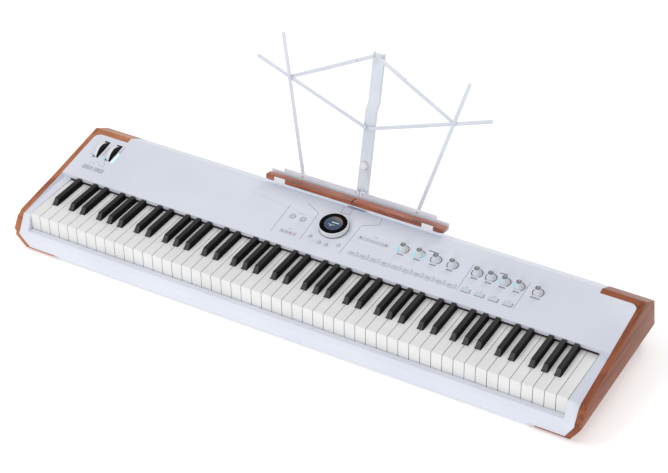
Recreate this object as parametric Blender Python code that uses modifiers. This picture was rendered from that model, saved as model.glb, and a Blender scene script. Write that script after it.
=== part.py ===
"""Stage keyboard: 88 keys, wooden ends, sloping panel, folding music desk.

Sizes are in metres. Every piece hangs on the empty "datum", which sits in the middle of the
keybed, at the front edge of the white keys and level with their tops. So in the sections below
x is to the player's right, y is behind the key fronts and z is above the key tops.
"""
import bpy
import bmesh
from math import atan, cos, pi, radians, sin, sqrt
from mathutils import Matrix, Vector

MM = 0.001
GAP = 0.3 * MM
WALL = 2.0 * MM

# Keys
KEY_PITCH = 23.5 * MM
KEY_SPACING = 0.9 * MM
WHITE_COUNT = 52
WHITE_TOP_THICK = 16 * MM
WHITE_FRONT_HEIGHT = 42 * MM
WHITE_FRONT_WALL = 2.5 * MM
BLACK_START = 49.5 * MM
BLACK_WIDTH = 12.6 * MM
BLACK_TOP_WIDTH = 10.4 * MM
BLACK_HEIGHT = 12.6 * MM
BLACK_SLOPE = 10 * MM
BLACK_DEPTH = 22 * MM
BLACK_NOTCH_GAP = 0.8 * MM
KEY_PIVOT_Y = 200 * MM
KEY_WEB = 8 * MM
WHITE_TAIL = (-10 * MM, -4 * MM)
BLACK_TAIL = (-22 * MM, -16 * MM)
TAIL_STEP = 0.5 * MM

# Case
CASE_END_GAP = 0.5 * MM
LIP_Y = 143 * MM
LIP_BOTTOM = 3 * MM
PANEL_Z = 13.7 * MM
PANEL_Z_AT = 150 * MM
PANEL_SLOPE = 0.18
CREST_Y = 289 * MM
BEVEL_BACK = (330 * MM, 16 * MM)
REAR_EDGE = (339.5 * MM, -47 * MM)
CASE_BOTTOM = -84 * MM
REAR_FOOT_Y = 327 * MM
NOSE = (-18 * MM, -47.5 * MM)
RAIL_FOOT_Y = -11 * MM
LEDGE_Z = -37.5 * MM
CHEEK_WIDTH = 21.5 * MM
CHEEK_FRONT = (4.5 * MM, -9.7 * MM)
CHEEK_BACK = 11.4 * MM
CHEEK_RISE = 4 * MM
CHEEK_LOW = ((3.8 * MM, -8.1 * MM), 1.8 * MM)
CHEEK_SKIN = 4.5 * MM
FOOT_HEIGHT = 6 * MM
FOOT_WIDTH = 12 * MM

# Wooden ends
WOOD_WIDTH = 14.7 * MM
WOOD_UNDERCUT = 23 * MM
WOOD_BACK_Y = 276 * MM
WOOD_BACK_RUN = 95 * MM
WOOD_FRONT_RUN = 108 * MM
WOOD_FRONT_HEIGHT = 3.7 * MM
WOOD_THICK = 11 * MM
WOOD_CORNER = 15 * MM

# Controls on the panel
KNOB_Y = 229 * MM
INSTRUMENT_FIRST = 149 * MM
INSTRUMENT_STEP = 36.6 * MM
EFFECT_FIRST = 313 * MM
EFFECT_STEP = 30.3 * MM
BANK_KNOBS = 4
MASTER_KNOB = 444.3 * MM
KNOB_RADIUS = 8 * MM
KNOB_TOP_RADIUS = 5.9 * MM
KNOB_HEIGHT = 14.8 * MM
SHAFT_RADIUS = 3 * MM
SHAFT_GAP = 0.5 * MM
SHAFT_DEPTH = 12 * MM
BUTTON_Y = 179 * MM
BUTTON_HEIGHT = 1.0 * MM
BUTTON_GAP = 0.5 * MM
MAT_THICK = 1.5 * MM
EFFECT_BUTTON = (19 * MM, 9 * MM)
EFFECT_BUTTON_FIRST = 312 * MM
SOUND_STRIP = (50 * MM, 291 * MM)
SOUND_BUTTONS = 10
SOUND_BUTTON = (21 * MM, 8 * MM)
CATEGORY_ROW = (49 * MM, 116 * MM)
CATEGORY_BUTTONS = 6
CATEGORY_BUTTON = (9 * MM, 7 * MM)
CATEGORY_Y = 224 * MM
ROUND_BUTTON_RADIUS = 6.5 * MM
ROUND_BUTTONS = [(-105 * MM, 223 * MM), (-81 * MM, 223 * MM)]
TRANSPORT_ROW = (-109 * MM, -73 * MM)
TRANSPORT_BUTTONS = 4
TRANSPORT_BUTTON = (7 * MM, 7 * MM)
SCREEN_BUTTON_RADIUS = 4.2 * MM
SCREEN_BUTTONS = [
    (-43.5 * MM, 188 * MM), (-18.5 * MM, 179 * MM),
    (-1.7 * MM, 179 * MM), (22.2 * MM, 188 * MM),
]
DISPLAY_X = -10 * MM
DISPLAY_Y = 227 * MM
DISPLAY_RADIUS = 30.5 * MM
DISPLAY_RING_EDGE = 0.4 * MM
GLASS_RADIUS = 29 * MM
DISPLAY_HEIGHT = 13.3 * MM
DISPLAY_STEM = 10 * MM
WHEEL_X = [-594 * MM, -562 * MM]
WHEEL_Y = 236 * MM
WHEEL_RADIUS = 28 * MM
WHEEL_WIDTH = 12 * MM
WHEEL_SHOW = 11 * MM
WHEEL_SLOT_WIDTH = 14 * MM
WHEEL_SLOT_ROOM = 2.6 * MM
AXLE_RADIUS = 3 * MM
EAR_THICK = 2.5 * MM
OCTAVE_X = [-591 * MM, -562.5 * MM]
OCTAVE_Y = 178 * MM
OCTAVE_BUTTON = (25 * MM, 11 * MM)

# Music desk: x sideways, d behind the arm plane, h up the desk from its datum
DESK_LEAN = 12.2
DESK_BASE = (318 * MM, 50 * MM)
BAR_WIDTH = 8 * MM
BAR_THICK = 2 * MM
PIN_RADIUS = 2 * MM
PIN_GAP = 0.3 * MM
STRUT_FOOT = (134.5 * MM, 10.2 * MM)
STRUT_TOP = (211 * MM, 305.4 * MM)
ARM_PIVOT = (6 * MM, 155.5 * MM)
ARM_TIP = (266 * MM, 243 * MM)
CROSSING_AT = 191.5 * MM
LINK_TOP = (9 * MM, 305.4 * MM)
LINK_JOINT = (70 * MM, 275.4 * MM)
LINK_OVERLAP = 28 * MM
TRAY_HINGE = (8 * MM, 13 * MM)
TRAY_LUG = 5 * MM
TRAY_HALF_GAP = 1 * MM
TRAY_HALF = 208 * MM
TRAY_TALL = 179 * MM
TRAY_TALL_TOP = 16 * MM
TRAY_LOW_TOP = 8 * MM
LEDGE_DEPTH = (-35 * MM, -13.5 * MM)
LEDGE_HEIGHT = (-5.2 * MM, 4.5 * MM)
LEDGE_CORNER = (9 * MM, 3.5 * MM)
CLIP_X = 173 * MM
CLIP_WIDTH = 26 * MM
CLIP_THICK = 2 * MM
MAST_WIDTH = 25 * MM
MAST_DEPTH = 8 * MM
MAST_SHEET = 2 * MM
MAST_FOOT = -7 * MM
MAST_TOP = 312 * MM
MAST_LOWER = 5.9 * MM
MAST_UPPER = 14.4 * MM
MAST_JOGGLE = (191 * MM, 207 * MM)
SCREW_H = 71.6 * MM
SCREW_HEAD_RADIUS = 8.5 * MM
SCREW_HEAD_DEPTH = 9 * MM
FOOT_EAR = 2.5 * MM
FOOT_PIN = 2.5 * MM

# Worked-out places
KEYBED_HALF = WHITE_COUNT * KEY_PITCH / 2
WELL_HALF = KEYBED_HALF + CASE_END_GAP
CHEEK_HALF = WELL_HALF + CHEEK_WIDTH
OUTER_HALF = CHEEK_HALF + WOOD_WIDTH
BACK_RUN_X = CHEEK_HALF + WOOD_WIDTH - WOOD_BACK_RUN
LEAN = radians(DESK_LEAN)
KEY_TOP_HEIGHT = FOOT_HEIGHT - CASE_BOTTOM
PANEL_TILT = atan(PANEL_SLOPE)
WHEEL_CHORD = sqrt(WHEEL_RADIUS ** 2 - (WHEEL_RADIUS - WHEEL_SHOW - WALL) ** 2)
WHEEL_SLOT = (WHEEL_SLOT_WIDTH, 2 * (WHEEL_CHORD + WHEEL_SLOT_ROOM))
INSTRUMENT_KNOBS = [INSTRUMENT_FIRST + INSTRUMENT_STEP * i for i in range(BANK_KNOBS)]
EFFECT_KNOBS = [EFFECT_FIRST + EFFECT_STEP * i for i in range(BANK_KNOBS)]
EFFECT_BUTTONS = [EFFECT_BUTTON_FIRST + EFFECT_STEP * i for i in range(BANK_KNOBS)]
BLACK_SHIFT = {"C#": -2.3 * MM, "D#": 2.3 * MM, "F#": -3 * MM, "G#": 0.0, "A#": 3 * MM}
SHARP_AFTER = {"C": "C#", "D": "D#", "F": "F#", "G": "G#", "A": "A#"}
SCALE = "CDEFGAB"


def panel_z(y):
    """Height of the panel's outside face, y behind the key fronts."""
    return PANEL_Z + PANEL_SLOPE * (y - PANEL_Z_AT)


def desk_rear():
    """The furthest point back of the whole keyboard: the top of the mast."""
    back = MAST_UPPER + MAST_DEPTH
    return DESK_BASE[0] + back * cos(LEAN) + MAST_TOP * sin(LEAN)


for old in list(bpy.data.objects):
    bpy.data.objects.remove(old, do_unlink=True)

parts = bpy.data.collections.new("stage_keyboard")
tools = bpy.data.collections.new("cutters")
bpy.context.scene.collection.children.link(parts)
bpy.context.scene.collection.children.link(tools)

datum = bpy.data.objects.new("datum", None)
datum.location = (0, -(NOSE[0] + desk_rear()) / 2, KEY_TOP_HEIGHT)
parts.objects.link(datum)

desk_datum = bpy.data.objects.new("desk_datum", None)
desk_datum.parent = datum
desk_datum.location = (0, DESK_BASE[0], DESK_BASE[1])
desk_datum.rotation_euler = (-LEAN, 0, 0)
parts.objects.link(desk_datum)


def finish(name, colour, roughness, metallic=0.0):
    """A material of one plain finish."""
    material = bpy.data.materials.new(name)
    material.use_nodes = True
    shader = material.node_tree.nodes["Principled BSDF"]
    shader.inputs["Base Color"].default_value = (*colour, 1)
    shader.inputs["Roughness"].default_value = roughness
    shader.inputs["Metallic"].default_value = metallic
    return material


CASE_WHITE = ((0.74, 0.76, 0.84), 0.45)
WOOD = ((0.33, 0.09, 0.03), 0.45)
IVORY = ((0.83, 0.83, 0.83), 0.3)
EBONY = ((0.012, 0.012, 0.013), 0.35)
STEEL = ((0.52, 0.54, 0.6), 0.5, 0.4)
DESK_WHITE = ((0.62, 0.63, 0.7), 0.5, 0.2)
BLACK_GLASS = ((0.01, 0.01, 0.012), 0.08)
BLACK_RUBBER = ((0.02, 0.02, 0.02), 0.9)
KEYPAD = ((0.7, 0.72, 0.74), 0.6)
BOARD_GREEN = ((0.02, 0.16, 0.07), 0.5)


def mesh_object(name, bm, group=tools, parent=datum):
    """Put a bmesh into the scene as an object hung on its parent."""
    mesh = bpy.data.meshes.new(name)
    bm.normal_update()
    bm.to_mesh(mesh)
    bm.free()
    piece = bpy.data.objects.new(name, mesh)
    piece.parent = parent
    group.objects.link(piece)
    if group is tools:
        piece.hide_render = True
        piece.display_type = "WIRE"
    return piece


def box_bm(low, high):
    """A box between two corners."""
    bm = bmesh.new()
    size = [b - a for a, b in zip(low, high)]
    middle = [(a + b) / 2 for a, b in zip(low, high)]
    place = Matrix.Translation(middle) @ Matrix.Diagonal((*size, 1))
    bmesh.ops.create_cube(bm, size=1, matrix=place)
    return bm


def round_bm(start, end, radius, end_radius=None, sides=16):
    """A cylinder or cone between two points."""
    bm = bmesh.new()
    start = Vector(start)
    end = Vector(end)
    run = end - start
    turn = Vector((0, 0, 1)).rotation_difference(run).to_matrix().to_4x4()
    place = Matrix.Translation((start + end) / 2) @ turn
    top = radius if end_radius is None else end_radius
    bmesh.ops.create_cone(
        bm, cap_ends=True, segments=sides, radius1=radius, radius2=top, depth=run.length, matrix=place
    )
    for face in bm.faces:
        face.smooth = len(face.verts) == 4
    return bm


def outline_bm(points, low, high, axes="yz"):
    """A flat outline stretched along the third axis, from low to high."""
    curve = bpy.data.curves.new("outline", "CURVE")
    curve.dimensions = "2D"
    curve.fill_mode = "BOTH"
    curve.extrude = (high - low) / 2
    line = curve.splines.new("POLY")
    line.points.add(len(points) - 1)
    for point, (u, v) in zip(line.points, points):
        point.co = (u, v, 0, 1)
    line.use_cyclic_u = True
    holder = bpy.data.objects.new("outline", curve)
    bpy.context.scene.collection.objects.link(holder)
    graph = bpy.context.evaluated_depsgraph_get()
    mesh = bpy.data.meshes.new_from_object(holder.evaluated_get(graph))
    bm = bmesh.new()
    bm.from_mesh(mesh)
    bmesh.ops.remove_doubles(bm, verts=bm.verts, dist=1e-6)
    middle = (low + high) / 2
    turns = {
        "yz": Matrix(((0, 0, 1, middle), (1, 0, 0, 0), (0, 1, 0, 0), (0, 0, 0, 1))),
        "xz": Matrix(((1, 0, 0, 0), (0, 0, -1, middle), (0, 1, 0, 0), (0, 0, 0, 1))),
        "xy": Matrix.Translation((0, 0, middle)),
    }
    bm.transform(turns[axes])
    bmesh.ops.recalc_face_normals(bm, faces=bm.faces)
    bpy.data.objects.remove(holder, do_unlink=True)
    bpy.data.curves.remove(curve)
    bpy.data.meshes.remove(mesh)
    return bm


def loft_bm(sections):
    """A skin through unlike outlines with the same number of points, closed at both ends."""
    bm = bmesh.new()
    rings = [[bm.verts.new(point) for point in section] for section in sections]
    for ring, following in zip(rings, rings[1:]):
        for i in range(len(ring)):
            j = (i + 1) % len(ring)
            bm.faces.new((ring[i], ring[j], following[j], following[i]))
    bm.faces.new(rings[0])
    bm.faces.new(rings[-1])
    bmesh.ops.triangulate(bm, faces=bm.faces)
    bmesh.ops.recalc_face_normals(bm, faces=bm.faces)
    return bm


def mirrored(bm):
    """The same shape on the other side of x = 0."""
    other = bm.copy()
    other.transform(Matrix.Diagonal((-1, 1, 1, 1)))
    bmesh.ops.reverse_faces(other, faces=other.faces)
    return other


def both_sides(bm):
    """A shape and its mirror image."""
    return combined([mirrored(bm), bm])


def combined(shapes):
    """Several shapes that don't meet, in one bmesh."""
    whole = bmesh.new()
    for shape in shapes:
        mesh = bpy.data.meshes.new("shape")
        shape.to_mesh(mesh)
        whole.from_mesh(mesh)
        bpy.data.meshes.remove(mesh)
        shape.free()
    return whole


def shape_with(name, body, adds=(), cuts=(), last=(), parent=datum, look=None, group=parts):
    """One piece: a body, shapes joined to it, shapes cut out of it, and last (kind, shape) steps."""
    piece = mesh_object(name, body, group, parent)
    steps = [("UNION", shape) for shape in adds] + [("DIFFERENCE", shape) for shape in cuts] + list(last)
    for number, (kind, shape) in enumerate(steps):
        if isinstance(shape, bmesh.types.BMesh):
            shape = mesh_object(f"{name}_tool_{number}", shape, tools, parent)
        step = piece.modifiers.new(f"{kind.lower()}_{number}", "BOOLEAN")
        step.operation = kind
        step.object = shape
    if look:
        piece.data.materials.append(finish(f"{name}_finish", *look))
    return piece


def set_origin(piece, point):
    """Move a piece's origin to a point on its joint axis, leaving its shape where it is."""
    offset = Vector(point)
    piece.data.transform(Matrix.Translation(-offset))
    piece.location = offset


# Top case: a sheet-like shell with the panel, lip, cheeks and front rail in one
def case_section(x, cheek_front, cheek_back):
    """The outside of the case across x, from the nose over the top and down the back."""
    lip_top = panel_z(LIP_Y)
    outline = [
        NOSE,
        cheek_front,
        (LIP_Y, cheek_back),
        (LIP_Y + 0.2 * MM, lip_top),
        (CREST_Y, panel_z(CREST_Y)),
        BEVEL_BACK,
        REAR_EDGE,
        (REAR_FOOT_Y, CASE_BOTTOM),
        (RAIL_FOOT_Y, CASE_BOTTOM),
    ]
    return [(x, y, z) for y, z in outline]


KEY_SIDE = ((0.5 * MM, -1.0 * MM), 0.8 * MM)
WOOD_SIDE = (CHEEK_FRONT, CHEEK_BACK)
case_body = loft_bm([
    case_section(-CHEEK_HALF, *WOOD_SIDE),
    case_section(-CHEEK_HALF + CHEEK_RISE, *CHEEK_LOW),
    case_section(-WELL_HALF, *KEY_SIDE),
    case_section(WELL_HALF, *KEY_SIDE),
    case_section(CHEEK_HALF - CHEEK_RISE, *CHEEK_LOW),
    case_section(CHEEK_HALF, *WOOD_SIDE),
])

UNDER = WALL * sqrt(1 + PANEL_SLOPE ** 2)
BELOW = CASE_BOTTOM - 20 * MM
ABOVE = 80 * MM
RAIL_WALL = WALL
WELL_FRONT_Y = -1 * MM
well = outline_bm([
    (RAIL_FOOT_Y + RAIL_WALL, BELOW),
    (RAIL_FOOT_Y + RAIL_WALL, CASE_BOTTOM),
    (NOSE[0] + RAIL_WALL + 1 * MM, NOSE[1]),
    (NOSE[0] + 2 * RAIL_WALL + 2 * MM, LEDGE_Z - WALL),
    (WELL_FRONT_Y, LEDGE_Z - WALL),
    (WELL_FRONT_Y, ABOVE),
    (LIP_Y, ABOVE),
    (LIP_Y, LIP_BOTTOM),
    (LIP_Y + WALL, LIP_BOTTOM),
    (LIP_Y + WALL, panel_z(LIP_Y + WALL) - UNDER),
    (CREST_Y - 1 * MM, panel_z(CREST_Y - 1 * MM) - UNDER),
    (BEVEL_BACK[0] - WALL, BEVEL_BACK[1] - WALL),
    (REAR_EDGE[0] + 20 * MM, BEVEL_BACK[1] - WALL),
    (REAR_EDGE[0] + 20 * MM, BELOW),
], -WELL_HALF, WELL_HALF)
over_rail = box_bm((-WELL_HALF, NOSE[0] - 20 * MM, LEDGE_Z), (WELL_HALF, 0, ABOVE))
under_panel = outline_bm([
    (LIP_Y + 2 * WALL, NOSE[1]),
    (LIP_Y + 2 * WALL, panel_z(LIP_Y + 2 * WALL) - UNDER - 0.2 * MM),
    (CREST_Y - 1.2 * MM, panel_z(CREST_Y - 1.2 * MM) - UNDER - 0.2 * MM),
    (BEVEL_BACK[0] - WALL - 1 * MM, BEVEL_BACK[1] - WALL - 0.3 * MM),
    (REAR_EDGE[0] + 21 * MM, BEVEL_BACK[1] - WALL - 0.3 * MM),
    (REAR_EDGE[0] + 21 * MM, NOSE[1]),
], -CHEEK_HALF + WALL, CHEEK_HALF - WALL)


def cheek_hollow():
    """The space inside one cheek, open to the space under the panel."""
    low = NOSE[1] + 1 * MM
    front = CHEEK_FRONT[0] + WALL + 1 * MM
    lip_back = LIP_Y + WALL
    back = lip_back + 2 * WALL + 2 * MM
    back_top = panel_z(back) - 2 * WALL - 2 * MM
    sections = []
    for x, (cheek_front, cheek_back) in ((WELL_HALF + WALL, KEY_SIDE), (CHEEK_HALF - WALL, CHEEK_LOW)):
        front_top = cheek_front[1] - CHEEK_SKIN
        lip_top = cheek_back - CHEEK_SKIN
        outline = [(front, low), (front, front_top), (lip_back, lip_top), (back, back_top), (back, low)]
        sections.append([(x, y, z) for y, z in outline])
    return loft_bm(sections)


SIDE_SLOPE_FOOT = CHEEK_HALF - WOOD_UNDERCUT + 2 * MM
SIDE_SLOPE = (NOSE[1] - CASE_BOTTOM) / (CHEEK_HALF - SIDE_SLOPE_FOOT)
side_slope = outline_bm([
    (CHEEK_HALF + 1 * MM, NOSE[1] + SIDE_SLOPE * MM),
    (SIDE_SLOPE_FOOT, CASE_BOTTOM),
    (SIDE_SLOPE_FOOT - 1.2 * MM, CASE_BOTTOM - 2 * MM),
    (CHEEK_HALF + 60 * MM, CASE_BOTTOM - 2 * MM),
    (CHEEK_HALF + 60 * MM, NOSE[1] + SIDE_SLOPE * MM),
], NOSE[0] - 40 * MM, REAR_EDGE[0] + 40 * MM, "xz")


def behind_corner(left, back):
    """Plan of everything behind the panel's rounded back corner, from left outwards."""
    far = 120 * MM
    steps = 5
    centre = (CHEEK_HALF + GAP - WOOD_CORNER, back - WOOD_CORNER)
    outline = [(left, back)]
    for i in range(steps + 1):
        angle = pi / 2 * (1 - i / steps)
        outline.append((centre[0] + WOOD_CORNER * cos(angle), centre[1] + WOOD_CORNER * sin(angle)))
    outline.append((CHEEK_HALF + far, back - WOOD_CORNER))
    outline.append((CHEEK_HALF + far, back + far))
    outline.append((left, back + far))
    return outline


wood_corner = outline_bm(behind_corner(BACK_RUN_X - GAP, WOOD_BACK_Y - GAP), BELOW, ABOVE, "xy")
front_strip = box_bm(
    (OUTER_HALF - WOOD_FRONT_RUN - GAP, NOSE[0] - 20 * MM, BELOW),
    (OUTER_HALF, RAIL_FOOT_Y + FOOT_WIDTH + 5 * MM, CASE_BOTTOM + WOOD_FRONT_HEIGHT + GAP),
)

PANEL_TURN = Matrix.Rotation(PANEL_TILT, 4, "X")


def panel_place(x, y):
    """A frame on the panel's outside face: its z points out of the panel."""
    return Matrix.Translation((x, y, panel_z(y))) @ PANEL_TURN


def on_panel(bm, x, y):
    """Move a shape made round (0, 0, 0) to its place on the panel."""
    bm.transform(panel_place(x, y))
    return bm


def row(first, last, count, width):
    """Middles of a row of buttons that fills first to last."""
    if count == 1:
        return [(first + last) / 2]
    step = (last - first - width) / (count - 1)
    return [first + width / 2 + step * i for i in range(count)]


def pad(x, y, size, low, high, grow=0.0):
    """A button with a rectangular face, or with grow its hole."""
    half_x = size[0] / 2 + grow
    half_y = size[1] / 2 + grow
    return on_panel(box_bm((-half_x, -half_y, low), (half_x, half_y, high)), x, y)


def stud(x, y, radius, low, high, sides=16):
    """A round button, shaft or hole square to the panel."""
    return on_panel(round_bm((0, 0, low), (0, 0, high), radius, sides=sides), x, y)


HOLE_LOW = -3 * WALL
HOLE_HIGH = 2 * WALL
ALL_KNOBS = INSTRUMENT_KNOBS + EFFECT_KNOBS + [MASTER_KNOB]
SOUND_XS = row(*SOUND_STRIP, SOUND_BUTTONS, SOUND_BUTTON[0])
CATEGORY_XS = row(*CATEGORY_ROW, CATEGORY_BUTTONS, CATEGORY_BUTTON[0])
TRANSPORT_XS = row(*TRANSPORT_ROW, TRANSPORT_BUTTONS, TRANSPORT_BUTTON[0])
holes = [stud(x, KNOB_Y, SHAFT_RADIUS + SHAFT_GAP, HOLE_LOW, HOLE_HIGH, 12) for x in ALL_KNOBS]
holes += [pad(x, BUTTON_Y, EFFECT_BUTTON, HOLE_LOW, HOLE_HIGH, BUTTON_GAP) for x in EFFECT_BUTTONS]
holes += [pad(x, BUTTON_Y, SOUND_BUTTON, HOLE_LOW, HOLE_HIGH, BUTTON_GAP) for x in SOUND_XS]
holes += [pad(x, CATEGORY_Y, CATEGORY_BUTTON, HOLE_LOW, HOLE_HIGH, BUTTON_GAP) for x in CATEGORY_XS]
holes += [pad(x, BUTTON_Y, TRANSPORT_BUTTON, HOLE_LOW, HOLE_HIGH, BUTTON_GAP) for x in TRANSPORT_XS]
holes += [stud(x, y, ROUND_BUTTON_RADIUS + BUTTON_GAP, HOLE_LOW, HOLE_HIGH) for x, y in ROUND_BUTTONS]
holes += [stud(x, y, SCREEN_BUTTON_RADIUS + BUTTON_GAP, HOLE_LOW, HOLE_HIGH, 12) for x, y in SCREEN_BUTTONS]
holes += [stud(DISPLAY_X, DISPLAY_Y, DISPLAY_STEM + GAP, HOLE_LOW, HOLE_HIGH, 24)]
holes += [pad(x, WHEEL_Y, WHEEL_SLOT, HOLE_LOW, HOLE_HIGH) for x in WHEEL_X]
holes += [pad(x, OCTAVE_Y, OCTAVE_BUTTON, HOLE_LOW, HOLE_HIGH, BUTTON_GAP) for x in OCTAVE_X]

AXLE_Y = WHEEL_Y + (WHEEL_RADIUS - WHEEL_SHOW) * sin(PANEL_TILT)
AXLE_Z = panel_z(WHEEL_Y) - (WHEEL_RADIUS - WHEEL_SHOW) * cos(PANEL_TILT)
AXLE_OUT = WHEEL_WIDTH / 2 + 1.5 * MM
EAR_TOP_Z = panel_z(AXLE_Y) - WALL / 2


def wheel_ear(x):
    """One ear under the panel that carries a wheel's axle."""
    half = 7 * MM
    return outline_bm([
        (AXLE_Y - half, EAR_TOP_Z - PANEL_SLOPE * half),
        (AXLE_Y - half, AXLE_Z - half),
        (AXLE_Y + half, AXLE_Z - half),
        (AXLE_Y + half, EAR_TOP_Z + PANEL_SLOPE * half),
    ], x, x + EAR_THICK)


ears = []
for x in WHEEL_X:
    ears.append(wheel_ear(x - AXLE_OUT - EAR_THICK))
    ears.append(wheel_ear(x + AXLE_OUT))
axle_bore = round_bm(
    (WHEEL_X[0] - 20 * MM, AXLE_Y, AXLE_Z), (WHEEL_X[1] + 20 * MM, AXLE_Y, AXLE_Z), AXLE_RADIUS + GAP
)
rear_opening = box_bm(
    (-CHEEK_HALF - 1 * MM, CREST_Y + 5 * MM, BELOW), (CHEEK_HALF + 1 * MM, 400 * MM, BEVEL_BACK[1] - WALL)
)
shape_with(
    "top_case",
    case_body,
    cuts=[
        well, over_rail, under_panel, both_sides(cheek_hollow()),
        both_sides(side_slope),
        both_sides(wood_corner),
        both_sides(front_strip),
        rear_opening, combined(holes),
    ],
    last=[("UNION", ear) for ear in ears] + [("DIFFERENCE", axle_bore)],
    look=CASE_WHITE,
)


# Wooden ends: a board outside each cheek, wrapping the back corner and under the front corner
def wood_side_outline():
    """Side view of the board, which follows the case's end."""
    return [
        NOSE,
        CHEEK_FRONT,
        (LIP_Y, WOOD_SIDE[1] + 0.6 * MM),
        (CREST_Y, panel_z(CREST_Y)),
        BEVEL_BACK,
        REAR_EDGE,
        (REAR_FOOT_Y, CASE_BOTTOM),
        (RAIL_FOOT_Y, CASE_BOTTOM),
    ]


def wood_end(name, side):
    """One end board, side +1 on the right."""
    body = outline_bm(wood_side_outline(), BACK_RUN_X, OUTER_HALF)
    mitre = CHEEK_HALF + GAP
    inside = BACK_RUN_X - 5 * MM
    below = CASE_BOTTOM - 10 * MM
    foot = CHEEK_HALF - WOOD_UNDERCUT + 2 * MM + GAP
    case_room = outline_bm([
        (inside, below),
        (inside, ABOVE),
        (mitre, ABOVE),
        (mitre, NOSE[1]),
        (foot, CASE_BOTTOM),
        (foot - 1.2 * MM, CASE_BOTTOM - 2 * MM),
        (foot - 1.2 * MM, below),
    ], NOSE[0] - 20 * MM, WOOD_BACK_Y + 5 * MM, "xz")
    keep_corner = outline_bm(behind_corner(inside - 5 * MM, WOOD_BACK_Y), BELOW, ABOVE + 10 * MM, "xy")
    keep_strip = box_bm(
        (OUTER_HALF - WOOD_FRONT_RUN, RAIL_FOOT_Y - 20 * MM, below),
        (mitre + 1 * MM, RAIL_FOOT_Y + FOOT_WIDTH, CASE_BOTTOM + WOOD_FRONT_HEIGHT),
    )
    corner_room = outline_bm([
        (WOOD_BACK_Y - 20 * MM, below),
        (WOOD_BACK_Y - 20 * MM, panel_z(WOOD_BACK_Y) - WOOD_THICK - 3 * MM),
        (CREST_Y, panel_z(CREST_Y) - WOOD_THICK),
        (BEVEL_BACK[0] - WOOD_THICK, BEVEL_BACK[1] - 8 * MM),
        (REAR_EDGE[0] - WOOD_THICK, REAR_EDGE[1]),
        (REAR_FOOT_Y - WOOD_THICK, CASE_BOTTOM),
        (REAR_FOOT_Y - WOOD_THICK, below),
    ], inside, CHEEK_HALF - 2 * MM)
    outside = outline_bm([
        (OUTER_HALF - 2.8 * MM, ABOVE),
        (OUTER_HALF - 2.8 * MM, 36 * MM),
        (OUTER_HALF, NOSE[1]),
        (OUTER_HALF - WOOD_UNDERCUT, CASE_BOTTOM),
        (OUTER_HALF - WOOD_UNDERCUT - 1.5 * MM, below),
        (OUTER_HALF + 20 * MM, below),
        (OUTER_HALF + 20 * MM, ABOVE),
    ], NOSE[0] - 30 * MM, REAR_EDGE[0] + 30 * MM, "xz")
    shapes = [body, corner_room, outside, case_room, keep_corner, keep_strip]
    if side < 0:
        shapes = [mirrored(shape) for shape in shapes]
    body, corner_room, outside, case_room, keep_corner, keep_strip = shapes
    room = shape_with(f"{name}_room", case_room, cuts=[keep_corner, keep_strip], group=tools)
    shape_with(name, body, cuts=[corner_room, outside, room], look=WOOD)


wood_end("wood_end_right", 1)
wood_end("wood_end_left", -1)

# Bottom case: the floor tray, with the sloping lower back wall and posts' ground
FLOOR_HALF = WELL_HALF - GAP
FLOOR_FRONT = RAIL_FOOT_Y + RAIL_WALL + GAP
floor = outline_bm([
    (FLOOR_FRONT, CASE_BOTTOM),
    (FLOOR_FRONT, CASE_BOTTOM + WALL),
    (REAR_FOOT_Y - WALL, CASE_BOTTOM + WALL),
    (REAR_EDGE[0] - WALL, REAR_EDGE[1]),
    (REAR_EDGE[0] - GAP, REAR_EDGE[1]),
    (REAR_FOOT_Y - GAP, CASE_BOTTOM),
], -FLOOR_HALF, FLOOR_HALF)
behind_wood = WOOD_BACK_Y - 5 * MM
floor_corner = box_bm((BACK_RUN_X - GAP, behind_wood, BELOW), (CHEEK_HALF + 5 * MM, 400 * MM, ABOVE))
floor_strip = box_bm(
    (OUTER_HALF - WOOD_FRONT_RUN - GAP, NOSE[0] - 10 * MM, BELOW),
    (CHEEK_HALF + 5 * MM, RAIL_FOOT_Y + FOOT_WIDTH + GAP, CASE_BOTTOM + WOOD_FRONT_HEIGHT + GAP),
)
shape_with("bottom_case", floor, cuts=[
    both_sides(floor_corner),
    both_sides(floor_strip),
], look=CASE_WHITE)

# Rear panel: the sheet that carries the sockets and the power inlet
REAR_THICK = 2.5 * MM
REAR_TOP = BEVEL_BACK[1] - WALL - GAP
REAR_LEAN = (REAR_EDGE[0] - BEVEL_BACK[0]) / (BEVEL_BACK[1] - REAR_EDGE[1])


def rear_y(z):
    """The back face's place at a height."""
    return BEVEL_BACK[0] + REAR_LEAN * (BEVEL_BACK[1] - z)


SOCKET_Z = -18 * MM
SOCKET_XS = [-470 * MM, -440 * MM, -360 * MM, -330 * MM, -300 * MM, -220 * MM, -190 * MM, -110 * MM]
SOCKET_RADIUS = 4.6 * MM
SQUARE_SOCKETS = [(-40 * MM, 13 * MM, 12 * MM), (0, 15 * MM, 7 * MM), (470 * MM, 28 * MM, 21 * MM)]
rear_sheet = outline_bm([
    (rear_y(REAR_TOP), REAR_TOP),
    (rear_y(REAR_EDGE[1] + GAP), REAR_EDGE[1] + GAP),
    (rear_y(REAR_EDGE[1] + GAP) - REAR_THICK, REAR_EDGE[1] + GAP),
    (rear_y(REAR_TOP) - REAR_THICK, REAR_TOP),
], -BACK_RUN_X + GAP, BACK_RUN_X - GAP)
socket_front = BEVEL_BACK[0] - 20 * MM
socket_back = REAR_EDGE[0] + 10 * MM
sockets = [
    round_bm((x, socket_front, SOCKET_Z), (x, socket_back, SOCKET_Z), SOCKET_RADIUS, sides=12)
    for x in SOCKET_XS
]
for x, wide, tall in SQUARE_SOCKETS:
    low = (x - wide / 2, socket_front, SOCKET_Z - tall / 2)
    sockets.append(box_bm(low, (x + wide / 2, socket_back, SOCKET_Z + tall / 2)))
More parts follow.
